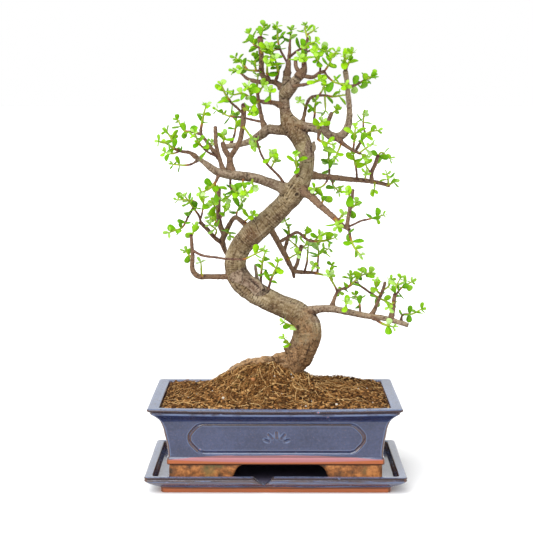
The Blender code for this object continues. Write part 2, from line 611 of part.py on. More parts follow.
def arch_outline(half_width):
    """Returns the outline of the gap between two feet: slanted ends that curve in to a flat top."""
    top = POT_UNDER + FOOT_HEIGHT
    low = POT_UNDER - 0.004
    side = [
        (half_width + ARCH_SLANT + 0.002, low),
        (half_width + ARCH_SLANT, POT_UNDER),
        (half_width + ARCH_SLANT * 0.42, POT_UNDER + FOOT_HEIGHT * 0.30),
        (half_width + ARCH_SLANT * 0.12, POT_UNDER + FOOT_HEIGHT * 0.68),
        (half_width - 0.002, top - 0.0004),
    ]
    return side + [(-x, z) for x, z in reversed(side)]


def panel_outline(inset):
    """Returns the outline of the cartouche on the front, drawn in by so much."""
    middle = (PANEL_LOW + PANEL_HIGH) / 2
    half_height = (PANEL_HIGH - PANEL_LOW) / 2 - inset
    end = PANEL_HALF_X - inset * 1.3
    straight = PANEL_HALF_X - PANEL_END - inset * 0.6
    quarter = [(end, 0.0), (end - PANEL_END * 0.18, half_height * 0.48),
               (end - PANEL_END * 0.55, half_height * 0.86), (straight, half_height)]
    upper = quarter + [(-x, z) for x, z in reversed(quarter)]
    lower = [(x, -z) for x, z in reversed(quarter[1:])]
    lower = [(-x, z) for x, z in reversed(lower)] + lower
    return [(x, middle + z) for x, z in upper + lower]


def make_pot():
    """The pot: flared walls, a rolled rim, a cartouche groove, drain holes and four feet."""
    foot_top = POT_UNDER + FOOT_HEIGHT
    body = loft(pot_levels(0.0), 2)
    feet = loft([
        (POT_UNDER, 0.1022, 0.0676, 0.006),
        (POT_UNDER + 0.0012, 0.1034, 0.0688, 0.006),
        (foot_top + 0.002, 0.1042, 0.0696, 0.006),
    ], 2)
    floor = foot_top + FLOOR_THICKNESS
    cavity = loft([
        (floor, 0.0950, 0.0604, 0.008),
        (floor + 0.004, 0.0972, 0.0626, 0.009),
        (0.0560, 0.1005, 0.0659, 0.009),
        (0.0720, 0.1070, 0.0720, 0.009),
        (POT_TOP - 0.0015, POT_HALF_X - RIM_WIDTH - 0.0008, POT_HALF_Y - RIM_WIDTH - 0.0008, 0.008),
        (POT_TOP + 0.003, POT_HALF_X - RIM_WIDTH + 0.0016, POT_HALF_Y - RIM_WIDTH + 0.0016, 0.009),
    ], 2)
    pot = add_object("pot", body, PARTS)
    combine(pot, [feet], "UNION")
    under = loft([
        (POT_UNDER - 0.004, 0.1034 - FOOT_WALL, 0.0688 - FOOT_WALL, 0.004),
        (foot_top - 0.0004, 0.1034 - FOOT_WALL - 0.002, 0.0688 - FOOT_WALL - 0.002, 0.004),
    ], 2)
    across = prism_along_y(arch_outline(ARCH_HALF_X), -0.2, 0.2)
    along = prism_along_y(arch_outline(ARCH_HALF_Y), -0.2, 0.2)
    along.transform(Matrix.Rotation(math.pi / 2, 4, "Z"))
    drains = []
    for side in (-1, 1):
        work = bmesh.new()
        bmesh.ops.create_cone(work, cap_ends=True, segments=12, radius1=DRAIN_RADIUS,
                              radius2=DRAIN_RADIUS, depth=0.04)
        bmesh.ops.translate(work, vec=(side * DRAIN_X, 0, foot_top), verts=work.verts)
        drains.append(finish_mesh(work, "drain"))
    combine(pot, [cavity, under, across, along] + drains, "DIFFERENCE")
    groove = add_object("groove", prism_along_y(panel_outline(0.0), -0.12, -0.05), CUTTERS)
    island = prism_along_y(panel_outline(PANEL_GROOVE), -0.2, 0.0)
    combine(groove, [island, loft(pot_levels(PANEL_DEPTH), 2)], "DIFFERENCE")
    combine(pot, [groove.data.copy()], "DIFFERENCE")
    bpy.data.objects.remove(groove, do_unlink=True)
    tidy_mesh(pot)
    return pot


def make_screen(name, side):
    """A square plastic screen over one drain hole."""
    low = POT_UNDER + FOOT_HEIGHT + FLOOR_THICKNESS + SEAT_GAP
    middle = side * DRAIN_X
    plate = box_mesh((middle - SCREEN_HALF, -SCREEN_HALF, low),
                     (middle + SCREEN_HALF, SCREEN_HALF, low + SCREEN_THICKNESS))
    screen = add_object(name, plate, PARTS)
    pitch = (2 * SCREEN_HALF - SCREEN_BAR) / SCREEN_HOLES
    holes = []
    for column in range(SCREEN_HOLES):
        for row in range(SCREEN_HOLES):
            x = middle - SCREEN_HALF + SCREEN_BAR + column * pitch
            y = -SCREEN_HALF + SCREEN_BAR + row * pitch
            span = pitch - SCREEN_BAR
            holes.append(box_mesh((x, y, low - 0.002), (x + span, y + span, low + 0.004)))
    combine(screen, holes, "DIFFERENCE")
    tidy_mesh(screen)
    return screen


def soil_height(x, y):
    """Returns the height of the soil's surface: a low dome with a mound round the trunk."""
    edge = max(abs(x) / (SOIL_TOP_HALF.x + 0.0016), abs(y) / (SOIL_TOP_HALF.y + 0.0015))
    dome = SOIL_DOME * (1 - min(edge, 1.0) ** 4)
    away = math.hypot((x - MOUND_MIDDLE.x) / MOUND_REACH.x, (y - MOUND_MIDDLE.y) / MOUND_REACH.y)
    mound = MOUND_HEIGHT * math.exp(-away ** 2.6)
    lumps = noise.noise(Vector((x * 90, y * 90, 4.3)))
    return SOIL_EDGE + dome + mound + SOIL_LUMPS * lumps * (1 - min(edge, 1.0) ** 6)


def make_soil(wood_routes):
    """The soil: a block that fills the pot, with a mounded top and plain holes for the wood."""
    floor = POT_UNDER + FOOT_HEIGHT + FLOOR_THICKNESS + SCREEN_THICKNESS + 3 * SEAT_GAP
    levels = [
        (floor, 0.0958, 0.0612, 0.009), (0.0560, 0.1001, 0.0655, 0.009),
        (0.0720, 0.1065, 0.0715, 0.009), (SOIL_BLOCK_TOP, 0.1108, 0.0759, 0.009),
    ]
    soil = add_object("soil", loft(levels, 2), PARTS)
    work = bmesh.new()
    bmesh.ops.create_grid(work, x_segments=SOIL_CELLS[0], y_segments=SOIL_CELLS[1], size=1.0)
    for vertex in work.verts:
        x = vertex.co.x * SOIL_TOP_HALF.x
        y = vertex.co.y * SOIL_TOP_HALF.y
        past = abs(x) + abs(y) - (SOIL_TOP_HALF.x + SOIL_TOP_HALF.y - SOIL_CORNER_CUT)
        if past > 0:
            x -= math.copysign(past / 2, x)
            y -= math.copysign(past / 2, y)
        vertex.co = (x, y, soil_height(x, y))
    sides = bmesh.ops.extrude_face_region(work, geom=list(work.faces))
    for vertex in [item for item in sides["geom"] if isinstance(item, bmesh.types.BMVert)]:
        vertex.co.z = SOIL_BLOCK_TOP - 0.0010
    combine(soil, [finish_mesh(work, "surface")], "UNION")
    holes = []
    for places, radii in wood_routes:
        wide = [radius + 2 * SEAT_GAP for radius in radii]
        first = places[0] + (places[0] - places[1]).normalized() * SEAT_GAP * 3
        last = places[-1] + (places[-1] - places[-2]).normalized() * SEAT_GAP * 3
        holes.append(tube([first] + places[1:-1] + [last], wide, sides_for(max(radii))))
    cutter = add_object("holes", holes[0], CUTTERS)
    combine(cutter, holes[1:], "UNION")
    combine(soil, [cutter.data.copy()], "DIFFERENCE")
    bpy.data.objects.remove(cutter, do_unlink=True)
    tidy_mesh(soil)
    return soil


def place(x, z, depth):
    """Returns the point at a depth that lies on the sight line through (x, z), in metres."""
    share = (EYE_DISTANCE + depth) / EYE_DISTANCE
    return Vector((x * share, depth, EYE_HEIGHT + (z - EYE_HEIGHT) * share)) * MM


def spread(values, share):
    """Returns the value at a share of the way along evenly spread values."""
    if len(values) == 1:
        return values[0]
    at = min(max(share, 0.0), 1.0) * (len(values) - 1)
    low = min(int(at), len(values) - 2)
    return values[low] + (values[low + 1] - values[low]) * (at - low)


def nearest_on(flat_routes, x, z):
    """Returns (x, z, depth) of the nearest place on a list of routes, measured across the tree."""
    best = None
    target = Vector((x, z))
    for route in flat_routes:
        for start, end in zip(route, route[1:]):
            a = Vector((start[0], start[1]))
            b = Vector((end[0], end[1]))
            along = b - a
            share = 0.0
            if along.length > 0:
                share = min(max((target - a).dot(along) / along.length_squared, 0.0), 1.0)
            spot = a + along * share
            gap = (spot - target).length
            if best is None or gap < best[0]:
                best = (gap, spot.x, spot.y, start[2] + (end[2] - start[2]) * share)
    return best[1:]


def lay_out(route, earlier):
    """Returns a route as [(x, z, depth)] and its radii, grown from the nearest earlier place."""
    reach, radii, _, places = route
    root_x, root_z, root_depth = nearest_on(earlier, *places[0])
    flat = [(root_x, root_z)] + list(places[1:])
    lengths = [0.0]
    for start, end in zip(flat, flat[1:]):
        lengths.append(lengths[-1] + math.dist(start, end))
    shares = [length / lengths[-1] for length in lengths]
    laid = [(x, z, root_depth + DEPTH_SPREAD * reach * share) for (x, z), share in zip(flat, shares)]
    return laid, [spread(radii, share) * MM for share in shares]


def straighten(spots, radii):
    """Leaves out the places where a route hardly bends."""
    kept = [0]
    for index in range(1, len(spots) - 1):
        before = spots[index] - spots[kept[-1]]
        after = spots[index + 1] - spots[index]
        if math.degrees(before.angle(after)) > STRAIGHT:
            kept.append(index)
    kept.append(len(spots) - 1)
    return [spots[index] for index in kept], [radii[index] for index in kept]


def tube(places, radii, sides):
    """Returns the mesh of a closed tube through places, with a radius at each."""
    curve = bpy.data.curves.new("tube", "CURVE")
    curve.dimensions = "3D"
    curve.bevel_depth = 1.0
    curve.bevel_resolution = (sides - 4) // 2
    curve.use_fill_caps = True
    spline = curve.splines.new("POLY")
    spline.points.add(len(places) - 1)
    for point, spot, radius in zip(spline.points, places, radii):
        point.co = (*spot, 1)
        point.radius = radius
    return mesh_of(add_object("tube", curve, CUTTERS))


def sides_for(radius):
    """Returns how many sides a tube of this radius gets."""
    if radius > 0.0095:
        return 10
    if radius > 0.0062:
        return 8
    return 6 if radius > 0.0028 else 4


def search_tree(shape):
    """Returns a tree of a mesh's triangles for distance and crossing tests."""
    work = bmesh.new()
    work.from_mesh(shape)
    made = BVHTree.FromBMesh(work)
    work.free()
    return made


def make_wood():
    """The trunk, its surface roots, the thick limbs and pruned stubs, grown as one piece."""
    flat = [[(x, z, depth) for x, z, depth, _ in TRUNK]]
    solid = [([place(*spot) for spot in flat[0]], [radius * MM for _, _, _, radius in TRUNK])]
    for route in LIMBS:
        laid, radii = lay_out(route, flat)
        flat.append(laid)
        solid.append(([place(*spot) for spot in laid], radii))
    wood = add_object("trunk_and_limbs", tube(*solid[0], sides_for(solid[0][1][0])), PARTS)
    combine(wood, [tube(spots, radii, sides_for(max(radii))) for spots, radii in solid[1:]], "UNION")
    tidy_mesh(wood)
    return wood, flat, solid


def seat_on(wood_tree, spots, radii):
    """Returns a branch's route cut back to start just off the surface of the wood."""
    start = spots[0]
    outward = spots[1]
    hit, normal, _, _ = wood_tree.ray_cast(outward, start - outward)
    if hit is None:
        hit, normal, _, _ = wood_tree.find_nearest(outward)
    lead = normal.normalized()
    foot = hit + lead * (SEAT_GAP + 0.00005)
    knee = foot + lead * (radii[0] * 1.4 + 0.0006)
    keep = [(spot, radius) for spot, radius in zip(spots[1:], radii[1:])
            if (spot - knee).length > 1.6 * radii[0] + 0.001]
    return ([foot, knee] + [spot for spot, _ in keep],
            [radii[0], radii[0] * 0.97] + [radius for _, radius in keep])


def stations(spots, pairs):
    """Yields (place, direction, number) for each leaf pair, from the tip of a shoot backwards."""
    lengths = [0.0]
    for start, end in zip(spots, spots[1:]):
        lengths.append(lengths[-1] + (end - start).length)
    whole = lengths[-1]
    for number in range(pairs):
        at = whole - 0.0008 - number * PAIR_SPACING * MM
        if at < 0.0015:
            return
        for index in range(len(spots) - 1):
            if lengths[index] <= at <= lengths[index + 1]:
                share = (at - lengths[index]) / (lengths[index + 1] - lengths[index])
                run = spots[index + 1] - spots[index]
                yield spots[index] + run * share, run.normalized(), number
                break


def leaf_mesh(length, width, frame):
    """Returns one leaf: a thin obovate lens with a sharp rim, from its root at the origin."""
    work = bmesh.new()
    bmesh.ops.create_uvsphere(work, u_segments=LEAF_SIDES, v_segments=2, radius=1.0)
    for vertex in work.verts:
        x, y, z = vertex.co
        vertex.co.x = length * (0.5 + 0.5 * x + 0.04 * abs(z))
        vertex.co.y = width / 2 * y * (1.0 + 0.30 * x)
        vertex.co.z = LEAF_THICKNESS * MM / 2 * z + 0.05 * length * x * x
    work.transform(frame)
    return finish_mesh(work, "leaf")


def leaf_frame(root, direction, side, draw, attempt):
    """Returns where a leaf sits: its blade's way out, its face and its root."""
    lift = math.radians(draw.uniform(22, 48) + 9 * attempt)
    out = side * math.cos(lift) + direction * math.sin(lift)
    out = (out + Vector((0, 0, 0.18))).normalized()
    face = direction - out * direction.dot(out)
    face = (face + Vector((0, -0.25, 0.35))).normalized()
    across = face.cross(out).normalized()
    face = out.cross(across)
    roll = Matrix.Rotation(math.radians(draw.uniform(-28, 28)), 4, out)
    turned = roll @ Matrix((out, across, face)).transposed().to_4x4()
    return Matrix.Translation(root - out * 0.0002) @ turned


def crosses(shape, solids):
    """Tells whether a mesh touches any of a list of (low corner, high corner, tree)."""
    low, high = bounds_of(shape)
    candidate = None
    for other_low, other_high, tree in solids:
        if all(low[axis] <= other_high[axis] and high[axis] >= other_low[axis] for axis in range(3)):
            candidate = candidate or search_tree(shape)
            if candidate.overlap(tree):
                return True
    return False


def bounds_of(shape):
    """Returns the lowest and highest corner of a mesh."""
    corners = [vertex.co for vertex in shape.vertices]
    return ([min(spot[axis] for spot in corners) for axis in range(3)],
            [max(spot[axis] for spot in corners) for axis in range(3)])


def entry(shape):
    """Returns a mesh as (low corner, high corner, tree) for crossing tests."""
    return (*bounds_of(shape), search_tree(shape))


def grown(shape, by):
    """Returns a copy of a mesh swollen by so much along its normals."""
    work = bmesh.new()
    work.from_mesh(shape)
    work.normal_update()
    moves = [(vertex, vertex.normal * by) for vertex in work.verts]
    for vertex, move in moves:
        vertex.co += move
    return finish_mesh(work, "grown")


def grow_leaves(name, index, spots, pairs, obstacles, own):
    """Returns the leaves of one shoot, each turned until it is clear of everything else."""
    leaves = []
    turn = random.Random(f"{name} {index}").uniform(0, math.pi)
    for root, direction, number in stations(spots, pairs):
        upright = Vector((0, 0, 1)) if abs(direction.z) < 0.9 else Vector((1, 0, 0))
        level = direction.cross(upright).normalized()
        for half in (0, 1):
            draw = random.Random(f"{name} {index} {number} {half}")
            if draw.random() > LEAVES_KEPT and number > 0:
                continue
            length = draw.uniform(9.5, 13.0) * (0.78 if number == 0 else 1.0) * MM
            width = length * draw.uniform(0.66, 0.80)
            for attempt in range(4):
                angle = turn + number * math.pi / 2 + half * math.pi + attempt * 0.5
                side = Matrix.Rotation(angle, 3, direction) @ level
                size = 1.0 - 0.08 * attempt
                frame = leaf_frame(root, direction, side, draw, attempt)
                leaf = leaf_mesh(length * size, width * size, frame)
                swollen = grown(leaf, LEAF_CLEARANCE * MM)
                if not crosses(swollen, obstacles) and not crosses(leaf, own):
                    leaves.append(leaf)
                    own.append(entry(leaf))
                    break
    return leaves


def faults(shape):
    """Returns the middle of every edge of a mesh that doesn't join exactly two faces."""
    work = bmesh.new()
    work.from_mesh(shape)
    spots = [(edge.verts[0].co + edge.verts[1].co) / 2
             for edge in work.edges if len(edge.link_faces) != 2]
    work.free()
    return spots


def fuse(name, stems, leaves):
    """Joins a branch's routes and leaves as one body, without any leaf that doesn't join cleanly."""
    kept = list(leaves)
    while True:
        branch = add_object(name, stems[0].copy(), PARTS)
        if len(stems) + len(kept) > 1:
            combine(branch, [shape.copy() for shape in stems[1:] + kept], "UNION")
        tidy_mesh(branch)
        bad = faults(branch.data)
        if not bad or not kept:
            return branch
        gaps = [min((vertex.co - bad[0]).length for vertex in leaf.vertices) for leaf in kept]
        kept.pop(gaps.index(min(gaps)))
        bpy.data.objects.remove(branch, do_unlink=True)


def make_branches(wood, wood_flat, solids):
    """Every leafy branch: its routes first, then the leaves that find room among them."""
    wood_tree = search_tree(wood.data)
    laid_branches = {}
    for name, routes in BRANCHES.items():
        flat = []
        shoots = []
        for index, route in enumerate(routes):
            laid, radii = lay_out(route, flat or wood_flat)
            flat.append(laid)
            spots = [place(*spot) for spot in laid]
            if index == 0:
                spots, radii = seat_on(wood_tree, spots, radii)
            spots, radii = straighten(spots, radii)
            shoots.append((spots, radii, route[2]))
        laid_branches[name] = shoots
    stems = {}
    for name, shoots in laid_branches.items():
        stems[name] = [tube(spots, radii, sides_for(max(radii))) for spots, radii, _ in shoots]
    rooms = {name: [entry(stem) for stem in group] for name, group in stems.items()}
    made = []
    for name, shoots in laid_branches.items():
        obstacles = list(solids)
        for other, room in rooms.items():
            if other != name:
                obstacles += room
        own = []
        leaves = []
        for index, (spots, _, pairs) in enumerate(shoots):
            leaves += grow_leaves(name, index, spots, pairs, obstacles, own)
        rooms[name] += own
        made.append(fuse(name, stems[name], leaves))
    return made


def dress(pieces, finish, smooth=None):
    """Gives pieces their material and their shading."""
    for piece in pieces:
        piece.data.materials.clear()
        piece.data.materials.append(finish)
        if smooth:
            piece.data.shade_smooth()
            piece.data.set_sharp_from_angle(angle=math.radians(smooth))


clear_scene()
PARTS = make_collection("dwarf_jade_bonsai")
CUTTERS = make_collection("cutters")

tray = make_tray()
pot = make_pot()
screens = [make_screen("drain_screen_left", -1), make_screen("drain_screen_right", 1)]
trunk, routes_flat, routes_solid = make_wood()
soil = make_soil(routes_solid[:ROOTS + 1])
branches = make_branches(trunk, routes_flat, [entry(piece.data) for piece in (trunk, soil, pot, tray)])

glaze = make_material("blue_glaze", (0.045, 0.075, 0.165), 0.18)
dress([tray, pot], glaze, 35)
dress(screens, make_material("black_plastic", (0.02, 0.02, 0.02), 0.5))
dress([soil], make_material("soil", (0.16, 0.085, 0.035), 0.95))
dress([trunk], make_material("bark", (0.22, 0.16, 0.11), 0.85), 60)
dress(branches, make_material("leaf", (0.20, 0.46, 0.04), 0.40), 50)

for leftover in list(CUTTERS.objects):
    bpy.data.objects.remove(leftover, do_unlink=True)
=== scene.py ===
"""A dwarf jade bonsai in a glazed clay pot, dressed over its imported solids.

Lengths are in metres, and in millimetres in the route tables and wherever a name says so.
The origin is the middle of the drip tray's underside, +Z is up and the front faces -Y.
"""

from __future__ import annotations

import logging
import math
import random
from collections.abc import Callable, Iterator, Sequence
from dataclasses import dataclass, field
from enum import Enum
from itertools import accumulate

import bmesh
import bpy
from mathutils import Matrix, Vector, noise
from mathutils.bvhtree import BVHTree
from mathutils.kdtree import KDTree


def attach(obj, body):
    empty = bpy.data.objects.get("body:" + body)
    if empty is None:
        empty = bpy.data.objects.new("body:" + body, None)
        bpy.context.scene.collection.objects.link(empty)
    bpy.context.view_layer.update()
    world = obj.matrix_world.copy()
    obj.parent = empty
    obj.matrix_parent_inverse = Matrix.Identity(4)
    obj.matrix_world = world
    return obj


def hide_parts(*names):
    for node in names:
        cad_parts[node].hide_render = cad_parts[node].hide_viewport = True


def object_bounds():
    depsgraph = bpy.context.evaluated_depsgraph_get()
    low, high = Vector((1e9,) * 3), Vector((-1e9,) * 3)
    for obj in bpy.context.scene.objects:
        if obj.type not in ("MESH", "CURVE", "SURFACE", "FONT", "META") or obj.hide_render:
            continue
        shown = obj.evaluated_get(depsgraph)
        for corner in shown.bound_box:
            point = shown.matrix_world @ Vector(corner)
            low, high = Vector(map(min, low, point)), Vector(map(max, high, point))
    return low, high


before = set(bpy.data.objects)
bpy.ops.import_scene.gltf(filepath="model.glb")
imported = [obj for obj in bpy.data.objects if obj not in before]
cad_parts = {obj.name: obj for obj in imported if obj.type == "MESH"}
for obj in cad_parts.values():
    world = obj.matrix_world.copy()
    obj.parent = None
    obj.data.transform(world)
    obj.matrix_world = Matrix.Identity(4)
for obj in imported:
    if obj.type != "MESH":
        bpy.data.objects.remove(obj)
CAD_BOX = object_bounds()

LOG = logging.getLogger("bonsai")
MM = 0.001
BODY = "root"

Colour = tuple[float, float, float]
Stop = tuple[float, Colour]
Piece = bpy.types.Object
Material = bpy.types.Material
Place = tuple[float, float]
Route = tuple[float, float | tuple[float, ...], int, list[float]]
Laid = list[tuple[float, float, float]]
Run = list[tuple[Vector, float]]
Ring = tuple[Vector, float, float, float]
Level = tuple[float, float, float]

# Sockets that are told apart by number
OBJECT_PLACE, SURFACE_NORMAL, MARK_VECTOR, MARK_VALUE = 3, 1, 1, 2
MIX_SHARE, MIX_FIRST, MIX_SECOND, MIX_COLOUR = 0, 6, 7, 2

# Points closer in height than this are level, and a longer edge is divided, in metres
LEVEL = 1e-5
LONG_EDGE = 0.05

# Eye level and distance of the view in which the routes were read, in millimetres
EYE_HEIGHT = 378
EYE_DISTANCE = 1656

# How many times deeper the tree is than its routes say, and how far its branches stand off the wood
DEPTH_SPREAD = 1.7
SEAT_GAP = 0.00035

# How thin a sprig is at its tip, in millimetres
SPRIG_TIP = 0.8

# The trunk: (x, z, depth, radius)
TRUNK: list[tuple[float, float, float, float]] = [
    (10.8, 62, 0, 13.6), (10.8, 86, 0, 13.3), (11.6, 99, 0, 12.7), (14.4, 110, -1, 12.7),
    (20.7, 120, -2, 13.3), (27.8, 132, -4, 14.2), (32, 144, -6, 14.8), (31, 155, -6, 14.4),
    (24, 164.5, -4, 13.0), (11, 172, -1, 11.8), (-1, 177.5, 1, 11.2), (-12, 183, 2, 11.5),
    (-24, 190, 4, 12.0), (-34, 198.5, 6, 12.6), (-40, 209, 8, 11.8), (-40.5, 221, 8, 10.8),
    (-37, 232, 7, 11.0), (-28, 244, 5, 11.5), (-15, 255.5, 3, 11.5), (-2, 267, 0, 11.0),
    (9, 278, -2, 10.7), (17, 288, -4, 11.6), (24, 298, -5, 10.4), (29, 308, -6, 8.4),
    (31.5, 320, -6, 7.8), (30, 331, -5, 8.8), (26, 341, -3, 9.4), (20, 350, -1, 10.2),
    (14, 359, 0, 9.6), (10, 369, 1, 6.2), (8.5, 380, 2, 5.5), (9, 390, 2, 5.8),
    (10.5, 398, 3, 5.0), (11.2, 406, 4, 4.2),
]

# Every other route is (reach, radii, leaf pairs, places): how far its tip lies behind (+) or in
# front (-) of its root, radii spread evenly along it, and the x and z of each place in turn. It
# grows from the nearest place on the routes before it. A sprig has one radius and ends at SPRIG_TIP.
LIMBS: list[Route] = [
    (-3, (7.5, 6.5, 6.0, 5.0, 3.6), 0, [13, 114, -5, 115, -22, 113, -38, 108, -48, 99, -53, 88]),
    (-10, (9.0, 6.5, 4.0), 0, [17, 101, 31, 95, 39, 84]),
    (-24, (7.5, 5.0, 4.8, 4.7, 3.8, 1.6), 0,
     [14, 291, 3, 296, -8, 300, -18, 303.5, -30, 305.5, -42, 307, -50, 308, -58, 310, -66, 315, -73, 320.5, -82, 327]),
    (22, (7.0, 5.2, 5.6, 4.0, 3.0, 2.8), 0,
     [16, 354, 3, 352.5, -8, 353, -14, 348.5, -22, 343.5, -34, 338.5, -50, 336]),
    (-18, (7.5, 4.6, 4.4, 4.6, 4.2, 3.3, 2.8, 2.6, 2.9), 0,
     [18, 356, 30, 355.5, 40, 354, 48, 352, 56, 346.5, 64, 346, 70, 351, 73, 359, 74, 372, 73, 384, 71.5, 398,
      69.5, 412]),
    (-22, (7.0, 4.2, 3.6, 3.5, 3.1, 2.8, 2.5), 0,
     [26, 164, 36, 169, 46, 171.3, 58, 171, 72, 168.5, 86, 165.3, 100, 163, 112, 161.3, 124, 158, 135, 154.5]),
    (-8, (5.2, 5.6, 4.4), 0, [9, 388, 16, 396, 22, 405]),
    (-6, (2.4, 1.7), 0, [30, 330, 38, 333, 38, 341]),
    (8, (2.4, 1.7), 0, [-14, 184, -19, 203, -21, 217]),
]

